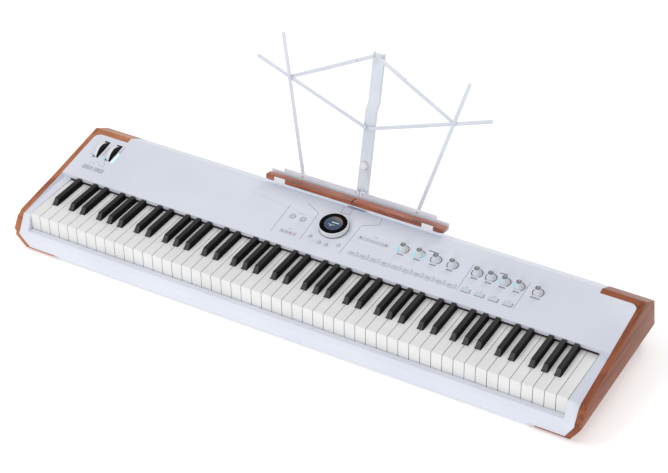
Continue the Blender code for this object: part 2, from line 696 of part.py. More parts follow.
shape_with("rear_panel", rear_sheet, cuts=[combined(sockets)], look=CASE_WHITE)

# Rubber feet: two long strips under the floor
FOOT_HALF = 520 * MM
for name, foot_y in (("foot_front", 16 * MM), ("foot_rear", 296 * MM)):
    strip = box_bm(
        (-FOOT_HALF, foot_y, CASE_BOTTOM - FOOT_HEIGHT), (FOOT_HALF, foot_y + FOOT_WIDTH, CASE_BOTTOM - GAP)
    )
    shape_with(name, strip, look=BLACK_RUBBER)

# Key frame: a pressed floor with the pivot rail that carries every key
FLOOR_TOP = CASE_BOTTOM + WALL
FRAME_HALF = WELL_HALF - 2 * MM
FRAME_PLATE = 2 * MM
RAIL_TOP = BLACK_TAIL[0] - GAP
WEB_BACK = KEY_PIVOT_Y + KEY_WEB / 2
UPRIGHT_TOP = WHITE_TAIL[1] + 1 * MM
plate_bottom = FLOOR_TOP + GAP
key_frame = outline_bm([
    (14 * MM, plate_bottom),
    (14 * MM, plate_bottom + 12 * MM),
    (14 * MM + FRAME_PLATE, plate_bottom + 12 * MM),
    (14 * MM + FRAME_PLATE, plate_bottom + FRAME_PLATE),
    (KEY_PIVOT_Y - 6 * MM, plate_bottom + FRAME_PLATE),
    (KEY_PIVOT_Y - 6 * MM, RAIL_TOP),
    (WEB_BACK + GAP, RAIL_TOP),
    (WEB_BACK + GAP, UPRIGHT_TOP),
    (WEB_BACK + GAP + WALL, UPRIGHT_TOP),
    (WEB_BACK + GAP + WALL, plate_bottom),
], -FRAME_HALF, FRAME_HALF)
shape_with("key_frame", key_frame, look=STEEL)

# Main board on four posts
BOARD = ((-380 * MM, 226 * MM), (380 * MM, 300 * MM))
BOARD_Z = -62 * MM
board = box_bm((*BOARD[0], BOARD_Z), (*BOARD[1], BOARD_Z + 1.6 * MM))
posts = [
    round_bm((x, y, FLOOR_TOP + GAP), (x, y, BOARD_Z + 0.8 * MM), 3 * MM, sides=8)
    for x in (BOARD[0][0] + 10 * MM, BOARD[1][0] - 10 * MM)
    for y in (BOARD[0][1] + 10 * MM, BOARD[1][1] - 10 * MM)
]
shape_with("main_board", board, adds=posts, look=BOARD_GREEN)


# Keys
def key_list():
    """Every key in order: its name, its place across the keybed, and whether it is black."""
    keys = []
    for i in range(WHITE_COUNT):
        note = SCALE[(i + 5) % 7]
        octave = (i + 5) // 7
        x = (i + 0.5) * KEY_PITCH - KEYBED_HALF
        keys.append((note, octave, x, False))
        if note in SHARP_AFTER and i < WHITE_COUNT - 1:
            sharp = SHARP_AFTER[note]
            keys.append((sharp, octave, x + KEY_PITCH / 2 + BLACK_SHIFT[sharp], True))
    return keys


KEYS = key_list()
BLACKS = [key for key in KEYS if key[3]]


def white_body(x):
    """A white key: top and front, notched beside its black neighbours, and its tail."""
    half = (KEY_PITCH - KEY_SPACING) / 2
    reach = BLACK_WIDTH / 2 + BLACK_NOTCH_GAP
    left = x - half
    right = x + half
    back_left = left
    back_right = right
    for _, _, black_x, _ in BLACKS:
        if left - KEY_SPACING < black_x < x:
            back_left = max(left, black_x + reach)
        if x < black_x < right + KEY_SPACING:
            back_right = min(right, black_x - reach)
        if black_x < left and black_x + reach > left:
            back_left = black_x + reach
        if black_x > right and black_x - reach < right:
            back_right = black_x - reach
    notch_y = BLACK_START - BLACK_NOTCH_GAP
    body_back = LIP_Y + 8 * MM
    body = outline_bm([
        (0, 0),
        (body_back, 0),
        (body_back, -WHITE_TOP_THICK),
        (WHITE_FRONT_WALL, -WHITE_TOP_THICK),
        (WHITE_FRONT_WALL, -WHITE_FRONT_HEIGHT),
        (0, -WHITE_FRONT_HEIGHT),
    ], left, right)
    tail = box_bm(
        (back_left + 0.5 * MM, body_back - 2 * MM, WHITE_TAIL[0] + TAIL_STEP),
        (back_right - 0.5 * MM, KEY_PIVOT_Y - KEY_WEB / 2 + 1 * MM, WHITE_TAIL[1] - TAIL_STEP),
    )
    notches = []
    for near, far in ((left - KEY_SPACING * 0.4, back_left), (back_right, right + KEY_SPACING * 0.4)):
        if far - near > KEY_SPACING / 2:
            notch_low = (near, notch_y, -WHITE_TOP_THICK - 1 * MM)
            notches.append(box_bm(notch_low, (far, body_back + 1 * MM, 1 * MM)))
    return body, tail, notches


def black_body(x):
    """A black key: a cap that narrows upwards with a sloping front, and its tail."""
    half = BLACK_WIDTH / 2
    top = BLACK_TOP_WIDTH / 2
    back = LIP_Y - 2 * MM
    top_front = BLACK_START + BLACK_SLOPE
    levels = ((half, BLACK_START, -BLACK_DEPTH), (half, BLACK_START, 0), (top, top_front, BLACK_HEIGHT))
    sections = []
    for reach, front, z in levels:
        corners = [(x - reach, front), (x + reach, front), (x + reach, back), (x - reach, back)]
        sections.append([(u, v, z) for u, v in corners])
    cap = loft_bm(sections)
    tail = box_bm(
        (x - half + 1.4 * MM, back - 2 * MM, BLACK_TAIL[0] + TAIL_STEP),
        (x + half - 1.4 * MM, KEY_PIVOT_Y - KEY_WEB / 2 + 1 * MM, BLACK_TAIL[1] - TAIL_STEP),
    )
    return cap, tail, []


def key_web(first_x, last_x, half, tail):
    """The strip across the tails at the pivot."""
    low = (first_x - half, KEY_PIVOT_Y - KEY_WEB / 2, tail[0])
    high = (last_x + half, KEY_PIVOT_Y + KEY_WEB / 2, tail[1])
    return box_bm(low, high)


def key_group(name, xs, black):
    """One key, or a comb of keys moulded on one strip, with its origin on the pivot line."""
    make = black_body if black else white_body
    tail = BLACK_TAIL if black else WHITE_TAIL
    half = BLACK_WIDTH / 2 - 1 * MM if black else (KEY_PITCH - KEY_SPACING) / 2
    web = key_web(min(xs), max(xs), half, tail)
    bodies, tails, notches = zip(*[make(x) for x in xs])
    cuts = [notch for pair in notches for notch in pair]
    look = EBONY if black else IVORY
    piece = shape_with(
        name, web, adds=[combined(bodies), combined(tails)], cuts=[combined(cuts)] if cuts else [], look=look
    )
    pivot_z = (tail[0] + tail[1]) / 2
    pivot = Vector((0, KEY_PIVOT_Y, pivot_z))
    set_origin(piece, pivot)
    return piece


MIDDLE_OCTAVE = 4
for note, octave, x, black in KEYS:
    if octave == MIDDLE_OCTAVE:
        key_group(f"key_{note.replace('#', '_sharp')}4".lower(), [x], black)
for label, keep in (("low", lambda o: o < MIDDLE_OCTAVE), ("high", lambda o: o > MIDDLE_OCTAVE)):
    for colour, black in (("white", False), ("black", True)):
        places = [x for _, octave, x, is_black in KEYS if keep(octave) and is_black == black]
        key_group(f"{colour}_keys_{label}", places, black)


# Knobs: each a soft cap on its shaft, tapered to a smaller top
def turned(name, profile, sides, place, parent=datum, look=None, closed=False):
    """A turned piece: a profile of (radius, height) points, listed down its outer side."""
    bm = bmesh.new()
    points = [bm.verts.new((radius, 0, height)) for radius, height in profile]
    for start, end in zip(points, points[1:]):
        bm.edges.new((start, end))
    if closed:
        bm.edges.new((points[-1], points[0]))
    piece = mesh_object(name, bm, parts, parent)
    screw = piece.modifiers.new("turn", "SCREW")
    screw.steps = sides
    screw.render_steps = sides
    screw.use_merge_vertices = True
    screw.merge_threshold = 0.00001
    piece.matrix_local = place
    piece.data.materials.append(finish(f"{name}_finish", *look))
    return piece


def knob(name, x):
    """One knob, its base a hair above the panel and its shaft down through it."""
    chamfer = 0.8 * MM
    turned(name, [
        (0, KNOB_HEIGHT),
        (KNOB_TOP_RADIUS - chamfer, KNOB_HEIGHT),
        (KNOB_TOP_RADIUS, KNOB_HEIGHT - chamfer),
        (KNOB_RADIUS, GAP + 1 * MM),
        (KNOB_RADIUS, GAP),
        (SHAFT_RADIUS, GAP),
        (SHAFT_RADIUS, -SHAFT_DEPTH),
        (0, -SHAFT_DEPTH),
    ], 16, panel_place(x, KNOB_Y), look=KEYPAD)


for i, x in enumerate(INSTRUMENT_KNOBS):
    knob(f"instrument_knob_{i + 1}", x)
for i, x in enumerate(EFFECT_KNOBS):
    knob(f"effect_knob_{i + 1}", x)
knob("master_knob", MASTER_KNOB)

# Display: a fixed glass disc on its stem, and the white ring that turns round it
RING_LOW = 0.4 * MM
RING_INNER = GLASS_RADIUS + GAP
turned("display_ring", [
    (RING_INNER, DISPLAY_HEIGHT - DISPLAY_RING_EDGE),
    (RING_INNER + DISPLAY_RING_EDGE, DISPLAY_HEIGHT),
    (DISPLAY_RADIUS - DISPLAY_RING_EDGE, DISPLAY_HEIGHT),
    (DISPLAY_RADIUS, DISPLAY_HEIGHT - DISPLAY_RING_EDGE),
    (DISPLAY_RADIUS, RING_LOW),
    (RING_INNER, RING_LOW),
], 32, panel_place(DISPLAY_X, DISPLAY_Y), look=CASE_WHITE, closed=True)
turned("display_glass", [
    (0, DISPLAY_HEIGHT - 0.6 * MM),
    (GLASS_RADIUS, DISPLAY_HEIGHT - 0.6 * MM),
    (GLASS_RADIUS, DISPLAY_HEIGHT - 4 * MM),
    (DISPLAY_STEM, DISPLAY_HEIGHT - 5 * MM),
    (DISPLAY_STEM, -SHAFT_DEPTH),
    (0, -SHAFT_DEPTH),
], 32, panel_place(DISPLAY_X, DISPLAY_Y), look=BLACK_GLASS)

# Pitch and modulation wheels on their axles
for name, x in zip(("pitch_wheel", "mod_wheel"), WHEEL_X):
    disc = round_bm(
        (x - WHEEL_WIDTH / 2, AXLE_Y, AXLE_Z), (x + WHEEL_WIDTH / 2, AXLE_Y, AXLE_Z), WHEEL_RADIUS, sides=28
    )
    reach = AXLE_OUT + EAR_THICK - GAP
    axle = round_bm((x - reach, AXLE_Y, AXLE_Z), (x + reach, AXLE_Y, AXLE_Z), AXLE_RADIUS, sides=12)
    wheel = shape_with(name, disc, adds=[axle], look=KEYPAD)
    set_origin(wheel, (x, AXLE_Y, AXLE_Z))

# Buttons: each group is a moulded mat under the panel with its caps standing through the holes
MAT_TOP = -WALL - GAP
MAT_LOW = MAT_TOP - MAT_THICK
CAP_LOW = MAT_TOP - MAT_THICK / 2


def up_slope(y):
    """Distance up the panel from the knobs' line."""
    return (y - KNOB_Y) / cos(PANEL_TILT)


def mat(corners):
    """The mat of a keypad, its outline given by corners (x, y) on the panel."""
    outline = [(x, up_slope(y)) for x, y in corners]
    return on_panel(outline_bm(outline, MAT_LOW, MAT_TOP, "xy"), 0, KNOB_Y)


def keypad(name, corners, caps):
    """A mat with its caps."""
    shape_with(name, mat(corners), adds=[combined(caps)], look=KEYPAD)


EDGE = 5 * MM
transport_left = min(TRANSPORT_ROW[0], ROUND_BUTTONS[0][0] - ROUND_BUTTON_RADIUS) - EDGE
transport_right = max(TRANSPORT_ROW[1], ROUND_BUTTONS[1][0] + ROUND_BUTTON_RADIUS) + EDGE
screen_right = SCREEN_BUTTONS[-1][0] + SCREEN_BUTTON_RADIUS + EDGE
screen_top = SCREEN_BUTTONS[0][1] + SCREEN_BUTTON_RADIUS + EDGE
mat_front = BUTTON_Y - SOUND_BUTTON[1] / 2 - EDGE
left_caps = [pad(x, BUTTON_Y, TRANSPORT_BUTTON, CAP_LOW, BUTTON_HEIGHT) for x in TRANSPORT_XS]
left_caps += [stud(x, y, ROUND_BUTTON_RADIUS, CAP_LOW, BUTTON_HEIGHT) for x, y in ROUND_BUTTONS]
left_caps += [stud(x, y, SCREEN_BUTTON_RADIUS, CAP_LOW, BUTTON_HEIGHT, 12) for x, y in SCREEN_BUTTONS]
round_top = ROUND_BUTTONS[0][1] + ROUND_BUTTON_RADIUS + EDGE
keypad("left_keypad", [
    (transport_left, mat_front), (screen_right, mat_front), (screen_right, screen_top),
    (transport_right, screen_top), (transport_right, round_top), (transport_left, round_top),
], left_caps)

right_caps = [pad(x, BUTTON_Y, SOUND_BUTTON, CAP_LOW, BUTTON_HEIGHT) for x in SOUND_XS]
right_caps += [pad(x, CATEGORY_Y, CATEGORY_BUTTON, CAP_LOW, BUTTON_HEIGHT) for x in CATEGORY_XS]
strip_back = BUTTON_Y + SOUND_BUTTON[1] / 2 + EDGE
category_back = CATEGORY_Y + CATEGORY_BUTTON[1] / 2 + EDGE
keypad("right_keypad", [
    (CATEGORY_ROW[0] - EDGE, mat_front),
    (SOUND_STRIP[1] + EDGE, mat_front),
    (SOUND_STRIP[1] + EDGE, strip_back),
    (CATEGORY_ROW[1] + EDGE, strip_back), (CATEGORY_ROW[1] + EDGE, category_back),
    (CATEGORY_ROW[0] - EDGE, category_back),
], right_caps)

effect_left = EFFECT_BUTTONS[0] - EFFECT_BUTTON[0] / 2 - EDGE / 2
effect_right = EFFECT_BUTTONS[-1] + EFFECT_BUTTON[0] / 2 + EDGE
keypad("effect_keypad", [
    (effect_left, mat_front), (effect_right, mat_front),
    (effect_right, strip_back), (effect_left, strip_back),
], [pad(x, BUTTON_Y, EFFECT_BUTTON, CAP_LOW, BUTTON_HEIGHT) for x in EFFECT_BUTTONS])

for name, x in zip(("octave_down_button", "octave_up_button"), OCTAVE_X):
    flange = (OCTAVE_BUTTON[0] + 2 * MM, OCTAVE_BUTTON[1] + 3 * MM)
    shape_with(
        name,
        pad(x, OCTAVE_Y, OCTAVE_BUTTON, CAP_LOW, BUTTON_HEIGHT),
        adds=[pad(x, OCTAVE_Y, flange, MAT_LOW, MAT_TOP)],
        look=KEYPAD,
    )

# Music desk layers, front to back: tray plate, struts, arms, outer links, inner links, mast
LAYER_STEP = BAR_THICK + 0.4 * MM
ARM_LAYER = -1.5 * MM
STRUT_LAYER = ARM_LAYER - LAYER_STEP
OUTER_LAYER = ARM_LAYER + LAYER_STEP
INNER_LAYER = OUTER_LAYER + LAYER_STEP
PLATE_THICK = 2.3 * MM
PLATE_BACK = STRUT_LAYER - GAP
PLATE_FRONT = PLATE_BACK - PLATE_THICK
HOLE_RADIUS = PIN_RADIUS + PIN_GAP


def along(start, end, distance):
    """The point at a distance from start towards end."""
    run = Vector(end) - Vector(start)
    point = Vector(start) + run.normalized() * distance
    return (point.x, point.y)


def span(start, end):
    """Distance between two points."""
    return (Vector(end) - Vector(start)).length


CROSSING = along(ARM_PIVOT, ARM_TIP, CROSSING_AT)


def bar_outline(start, end):
    """A flat bar with round ends."""
    run = Vector(end) - Vector(start)
    heading = Vector((1, 0)).angle_signed(run)
    steps = 5
    points = []
    for centre, turn in ((end, -heading - pi / 2), (start, -heading + pi / 2)):
        for i in range(steps + 1):
            angle = turn + pi * i / steps
            points.append((centre[0] + BAR_WIDTH / 2 * cos(angle), centre[1] + BAR_WIDTH / 2 * sin(angle)))
    return points


def across_desk(at, low, high, radius, sides=12):
    """A pin or hole square to the desk at (x, h), from depth low to high."""
    return round_bm((at[0], low, at[1]), (at[0], high, at[1]), radius, sides=sides)


def desk_piece(name, body, side, origin, adds=(), cuts=(), look=DESK_WHITE):
    """A piece of the desk, made for the right half and mirrored for the left."""
    if side < 0:
        body = mirrored(body)
        adds = [mirrored(shape) for shape in adds]
        cuts = [mirrored(shape) for shape in cuts]
    piece = shape_with(name, body, adds=adds, cuts=cuts, parent=desk_datum, look=look)
    set_origin(piece, (side * origin[0], origin[1], origin[2]))


def link(name, side, start, end, layer, pins=()):
    """A bar with a hole at its start, and pins standing off it."""
    hole = across_desk(start, layer - 1 * MM, layer + BAR_THICK + 1 * MM, HOLE_RADIUS)
    desk_piece(
        name,
        outline_bm(bar_outline(start, end), layer, layer + BAR_THICK, "xz"),
        side,
        adds=pins,
        cuts=[hole],
        origin=(start[0], layer, start[1]),
    )


SIDES = (("right", 1), ("left", -1))
OUTER_END = along(CROSSING, LINK_JOINT, span(CROSSING, LINK_JOINT) + LINK_OVERLAP)
PLATE_LOW = LEDGE_HEIGHT[0] - GAP - MAST_SHEET
for word, side in SIDES:
    link(f"strut_{word}", side, STRUT_FOOT, STRUT_TOP, STRUT_LAYER)
    crossing_pin = across_desk(CROSSING, ARM_LAYER + 1 * MM, OUTER_LAYER + BAR_THICK, PIN_RADIUS)
    link(f"arm_{word}", side, ARM_PIVOT, ARM_TIP, ARM_LAYER, pins=[crossing_pin])
    link(f"outer_link_{word}", side, CROSSING, OUTER_END, OUTER_LAYER)
    link(f"inner_link_{word}", side, LINK_TOP, LINK_JOINT, INNER_LAYER)

    plate = outline_bm([
        (LEDGE_DEPTH[0] + 2 * MM, PLATE_LOW),
        (PLATE_BACK, PLATE_LOW),
        (PLATE_BACK, TRAY_TALL_TOP),
        (PLATE_FRONT, TRAY_TALL_TOP),
        (PLATE_FRONT, PLATE_LOW + MAST_SHEET),
        (LEDGE_DEPTH[0] + 2 * MM, PLATE_LOW + MAST_SHEET),
    ], TRAY_HALF_GAP, TRAY_HALF)
    step_high = (TRAY_HALF + 5 * MM, 5 * MM, TRAY_TALL_TOP + 5 * MM)
    step_cut = box_bm((TRAY_TALL, -20 * MM, TRAY_LOW_TOP), step_high)
    lug = across_desk(TRAY_HINGE, PLATE_FRONT + 0.2 * MM, PLATE_BACK - 0.2 * MM, TRAY_LUG)
    strut_pin = across_desk(STRUT_FOOT, PLATE_FRONT + 1 * MM, STRUT_LAYER + BAR_THICK, PIN_RADIUS)
    hinge_hole = across_desk(TRAY_HINGE, PLATE_FRONT - 2 * MM, PLATE_BACK + 2 * MM, HOLE_RADIUS)
    hinge_at = (TRAY_HINGE[0], PLATE_FRONT, TRAY_HINGE[1])
    desk_piece(
        f"tray_plate_{word}", plate, side, adds=[lug, strut_pin], cuts=[step_cut, hinge_hole], origin=hinge_at
    )

    notch_half = CLIP_WIDTH / 2 + GAP
    clip_d = LEDGE_DEPTH[0] + CLIP_THICK / 2
    ledge = outline_bm([
        (TRAY_HALF_GAP, LEDGE_DEPTH[1]),
        (TRAY_HALF_GAP, LEDGE_DEPTH[0]),
        (TRAY_HALF - LEDGE_CORNER[0], LEDGE_DEPTH[0]),
        (TRAY_HALF, LEDGE_DEPTH[0] + LEDGE_CORNER[1]),
        (TRAY_HALF, LEDGE_DEPTH[1]),
    ], LEDGE_HEIGHT[0], LEDGE_HEIGHT[1], "xy")
    notch = box_bm(
        (CLIP_X - notch_half, LEDGE_DEPTH[0] - 5 * MM, LEDGE_HEIGHT[0] - 5 * MM),
        (CLIP_X + notch_half, LEDGE_DEPTH[0] + CLIP_THICK + GAP, LEDGE_HEIGHT[1] + 5 * MM),
    )
    desk_piece(f"tray_ledge_{word}", ledge, side, cuts=[notch], look=WOOD, origin=hinge_at)

    clip_top = LEDGE_HEIGHT[1] - CLIP_THICK / 2
    clip_low = LEDGE_HEIGHT[0] - 1 * MM
    steps = 6
    clip_outline = [(clip_d + CLIP_THICK / 2, clip_low), (clip_d + CLIP_THICK / 2, clip_top)]
    for i in range(1, steps):
        angle = pi * i / steps
        clip_outline.append((clip_d + CLIP_THICK / 2 * cos(angle), clip_top + CLIP_THICK / 2 * sin(angle)))
    clip_outline += [(clip_d - CLIP_THICK / 2, clip_top), (clip_d - CLIP_THICK / 2, clip_low)]
    clip = outline_bm(clip_outline, CLIP_X - CLIP_WIDTH / 2, CLIP_X + CLIP_WIDTH / 2)
    desk_piece(f"page_clip_{word}", clip, side, origin=(CLIP_X, clip_d, clip_top))

# Mast: a folded sheet channel, joggled back above the arms' pivots
LOWER_BACK = MAST_LOWER + MAST_DEPTH
UPPER_BACK = MAST_UPPER + MAST_DEPTH
mast_body = outline_bm([
    (MAST_LOWER, MAST_FOOT),
    (LOWER_BACK, MAST_FOOT),
    (LOWER_BACK, MAST_JOGGLE[0] - MAST_SHEET),
    (UPPER_BACK, MAST_JOGGLE[1] - MAST_SHEET),
    (UPPER_BACK, MAST_TOP),
    (MAST_UPPER, MAST_TOP),
    (MAST_UPPER, MAST_JOGGLE[1]),
    (MAST_LOWER, MAST_JOGGLE[0]),
], -MAST_WIDTH / 2, MAST_WIDTH / 2)
mast_hollow = outline_bm([
    (MAST_LOWER + MAST_SHEET, MAST_FOOT - 5 * MM),
    (UPPER_BACK + 20 * MM, MAST_FOOT - 5 * MM),
    (UPPER_BACK + 20 * MM, MAST_TOP + 5 * MM),
    (MAST_UPPER + MAST_SHEET, MAST_TOP + 5 * MM),
    (MAST_UPPER + MAST_SHEET, MAST_JOGGLE[1] - MAST_SHEET / 4),
    (MAST_LOWER + MAST_SHEET, MAST_JOGGLE[0] - MAST_SHEET / 4),
], -MAST_WIDTH / 2 + MAST_SHEET, MAST_WIDTH / 2 - MAST_SHEET)
screw_hole = across_desk(
    (0, SCREW_H), MAST_LOWER - 2 * MM, MAST_LOWER + MAST_SHEET + 2 * MM, SHAFT_RADIUS + GAP
)
TILT_AT = (MAST_LOWER + MAST_DEPTH / 2, 0.0)
foot_hole = round_bm(
    (-MAST_WIDTH, TILT_AT[0], TILT_AT[1]), (MAST_WIDTH, TILT_AT[0], TILT_AT[1]), FOOT_PIN + PIN_GAP, sides=12
)
PIN_PROUD = 0.2 * MM
mast_pins = []
for _, side in SIDES:
    lower_root = MAST_LOWER + MAST_SHEET / 2
    upper_root = MAST_UPPER + MAST_SHEET / 2
    mast_pins += [
        across_desk((side * TRAY_HINGE[0], TRAY_HINGE[1]), PLATE_FRONT - PIN_PROUD, lower_root, PIN_RADIUS),
        across_desk((side * ARM_PIVOT[0], ARM_PIVOT[1]), ARM_LAYER - PIN_PROUD, lower_root, PIN_RADIUS),
        across_desk((side * LINK_TOP[0], LINK_TOP[1]), INNER_LAYER - PIN_PROUD, upper_root, PIN_RADIUS),
    ]
mast = shape_with(
    "mast",
    mast_body,
    cuts=[mast_hollow, screw_hole, foot_hole],
    last=[("UNION", combined(mast_pins))],
    parent=desk_datum,
    look=DESK_WHITE,
)
set_origin(mast, (0, TILT_AT[0], TILT_AT[1]))

# Thumb screw: a turned head on a shank through the mast
screw_place = Matrix.Translation((0, MAST_LOWER - GAP, SCREW_H)) @ Matrix.Rotation(pi / 2, 4, "X")
turned("thumb_screw", [
    (0, SCREW_HEAD_DEPTH),
    (SCREW_HEAD_RADIUS - 1.5 * MM, SCREW_HEAD_DEPTH),
    (SCREW_HEAD_RADIUS, SCREW_HEAD_DEPTH - 1.5 * MM),
    (SCREW_HEAD_RADIUS, 0.5 * MM),
    (SCREW_HEAD_RADIUS - 0.5 * MM, 0),
    (SHAFT_RADIUS, 0),
    (SHAFT_RADIUS, -MAST_SHEET - 2 * MM),
    (0, -MAST_SHEET - 2 * MM),
], 20, screw_place, parent=desk_datum, look=DESK_WHITE)

# Desk foot: a bracket on the back bevel, with two ears and the pin that the mast turns on
bevel_run = Vector((BEVEL_BACK[0] - CREST_Y, BEVEL_BACK[1] - panel_z(CREST_Y))).normalized()
bevel_out = Vector((-bevel_run.y, bevel_run.x))


def on_bevel(distance, height):
    """A point (y, z) at a distance down the bevel and a height off it."""
    point = Vector((CREST_Y, panel_z(CREST_Y))) + bevel_run * distance + bevel_out * height
    return (point.x, point.y)


PIN_Y = DESK_BASE[0] + TILT_AT[0] * cos(LEAN)
PIN_Z = DESK_BASE[1] - TILT_AT[0] * sin(LEAN)
EAR_RADIUS = 6 * MM
PLATE_RUN = (12 * MM, 44 * MM)
PLATE_HALF = 20 * MM
base_plate = outline_bm([
    on_bevel(PLATE_RUN[0], GAP),
    on_bevel(PLATE_RUN[1], GAP),
    on_bevel(PLATE_RUN[1], GAP + WALL),
    on_bevel(PLATE_RUN[0], GAP + WALL),
], -PLATE_HALF, PLATE_HALF)


def foot_ear(x):
    """One ear from the base plate up round the pin."""
    steps = 6
    outline = [on_bevel(25 * MM, WALL - 1 * MM)]
    for i in range(steps + 1):
        angle = pi - pi * i / steps
        outline.append((PIN_Y + EAR_RADIUS * cos(angle), PIN_Z + EAR_RADIUS * sin(angle)))
    outline.append(on_bevel(42 * MM, WALL - 1 * MM))
    return outline_bm(outline, x, x + FOOT_EAR)


ear_inside = MAST_WIDTH / 2 + GAP
pin_end = ear_inside + 2 * MM
foot_pin = round_bm((-pin_end, PIN_Y, PIN_Z), (pin_end, PIN_Y, PIN_Z), FOOT_PIN, sides=12)
shape_with(
    "desk_foot",
    base_plate,
    adds=[foot_ear(ear_inside), foot_ear(-ear_inside - FOOT_EAR), foot_pin],
    look=DESK_WHITE,
)
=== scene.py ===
"""Looks of the stage keyboard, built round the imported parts. Lengths are in metres.

Places on the instrument are given in the keybed's frame: x from the middle of the keybed to the
player's right, y back from the front edge of the white keys, z up from their tops.
"""
from math import cos, pi, radians, sin

import bmesh
import bpy
from mathutils import Matrix, Vector


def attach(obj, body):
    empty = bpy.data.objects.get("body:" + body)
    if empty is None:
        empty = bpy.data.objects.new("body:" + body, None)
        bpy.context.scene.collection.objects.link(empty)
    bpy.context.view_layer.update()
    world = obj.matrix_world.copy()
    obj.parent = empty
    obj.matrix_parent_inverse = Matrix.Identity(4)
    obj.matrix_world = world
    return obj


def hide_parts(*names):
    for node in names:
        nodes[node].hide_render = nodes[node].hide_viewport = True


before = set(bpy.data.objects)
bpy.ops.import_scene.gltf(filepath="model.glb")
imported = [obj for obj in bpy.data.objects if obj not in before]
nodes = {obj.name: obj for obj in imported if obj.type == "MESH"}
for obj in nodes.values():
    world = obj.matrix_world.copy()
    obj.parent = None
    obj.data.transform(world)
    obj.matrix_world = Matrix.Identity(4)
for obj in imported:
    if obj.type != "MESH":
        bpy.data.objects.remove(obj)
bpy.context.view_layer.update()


# The studio: a plain pale floor under the instrument, a white surround, one big soft lamp over the
# player's left shoulder, weaker ones low at the front and high at the back, and a long-lens camera
# standing high to the player's right.
MM = 0.001
KEYBED = Vector((0, -0.193914, 0.090))


def axes_at(place, *axes):
    """The frame with its origin at place and the three given axes."""
    return Matrix.Translation(place) @ Matrix(axes).transposed().to_4x4()


class Shade:
    """A value or colour in a material's nodes. Plain maths on it adds Math nodes beside it."""

    def __init__(self, tree, socket=None):
        self.tree = tree
        self.socket = socket

    def node(self, kind, inputs=None, output=0, stops=None, **settings):
        made = self.tree.nodes.new(kind)
        for name, value in settings.items():
            setattr(made, name, value)
        if stops:
            made.color_ramp.elements[0].position = stops[0][0]
            made.color_ramp.elements[0].color = (*stops[0][1], 1)
            made.color_ramp.elements[1].position = stops[-1][0]
            made.color_ramp.elements[1].color = (*stops[-1][1], 1)
            for position, colour in stops[1:-1]:
                made.color_ramp.elements.new(position).color = (*colour, 1)
        for place, value in (inputs or {}).items():
            self.feed(made.inputs[place], value)
        return Shade(self.tree, made.outputs[output])

    def feed(self, socket, value):
        if isinstance(value, Shade):
            self.tree.links.new(value.socket, socket)
        elif socket.type == "RGBA":
            socket.default_value = (*value[:3], 1)
        else:
            socket.default_value = value

    def math(self, operation, *values):
        return self.node("ShaderNodeMath", dict(enumerate(values)), operation=operation)

    def __add__(self, other):
        return self.math("ADD", self, other)

    def __radd__(self, other):
        return self.math("ADD", other, self)

    def __sub__(self, other):
        return self.math("SUBTRACT", self, other)

    def __mul__(self, other):
        return self.math("MULTIPLY", self, other)

    def __lt__(self, other):
        return self.math("LESS_THAN", self, other)

    def stretched(self, x, y, z):
        return self.node("ShaderNodeVectorMath", {0: self, 1: (x, y, z)}, operation="MULTIPLY")

    def noise(self, scale, detail=2.0, roughness=0.5, distortion=0.0):
        values = {"Vector": self, "Scale": scale, "Detail": detail, "Roughness": roughness}
        values["Distortion"] = distortion
        return self.node("ShaderNodeTexNoise", values)

    def part(self, axis):
        return self.node("ShaderNodeSeparateXYZ", {0: self}, output="XYZ".index(axis))

    def between(self, low, high):
        """0 below low, 1 above high and even in between."""
        values = {"Value": self, "From Min": low, "From Max": high}
        return self.node("ShaderNodeMapRange", values)

    def dye(self, low, high):
        """The colour low where this is 0 and high where it is 1."""
        return self.node("ShaderNodeMix", {0: self, 6: low, 7: high}, output=2, data_type="RGBA")


def material(name, look):
    """Makes a material: look(spot) gets the place on the piece and returns the shader's values."""
    made = bpy.data.materials.new(name)
    made.use_nodes = True
    tree = made.node_tree
    shader = tree.nodes["Principled BSDF"]
    spot = Shade(tree).node("ShaderNodeTexCoord", output="Object")
    values = look(spot)
    bump = values.pop("Bump", None)
    if bump:
        height, depth = bump
        inputs = {"Height": height, "Distance": depth, "Strength": 1.0}
        values["Normal"] = spot.node("ShaderNodeBump", inputs)
    for place, value in values.items():
        spot.feed(shader.inputs[place], value)
    return made


def floor_look(spot):
    """A plain grey that gives off an even light of its own."""
    return {"Base Color": FLOOR_GREY, "Roughness": 0.9, "Specular IOR Level": 0.1,
            "Emission Color": FLOOR_GREY, "Emission Strength": FLOOR_GLOW}


FLOOR_SIZE = 30
FLOOR_DROP = 0.2 * MM
FLOOR_GREY = (0.9, 0.9, 0.9)
FLOOR_GLOW = 0.40
floor_mesh = bpy.data.meshes.new("floor")
floor_bm = bmesh.new()
bmesh.ops.create_grid(floor_bm, x_segments=1, y_segments=1, size=FLOOR_SIZE / 2)
floor_bm.to_mesh(floor_mesh)
floor_bm.free()
floor = bpy.data.objects.new("floor", floor_mesh)
floor.location = (0, 0, -FLOOR_DROP)
bpy.context.collection.objects.link(floor)
floor.data.materials.append(material("pale_floor", floor_look))

world = bpy.data.worlds.new("studio")
bpy.context.scene.world = world
world.use_nodes = True
surround = Shade(world.node_tree)
rays = [surround.node("ShaderNodeLightPath", output=name)
        for name in ("Is Camera Ray", "Is Glossy Ray", "Is Transmission Ray")]
seen = surround.math("MAXIMUM", surround.math("MAXIMUM", rays[0], rays[1]), rays[2])
AMBIENT = 0.62
background = world.node_tree.nodes["Background"]
surround.feed(background.inputs["Color"], seen.dye((AMBIENT,) * 3, (1, 1, 1)))


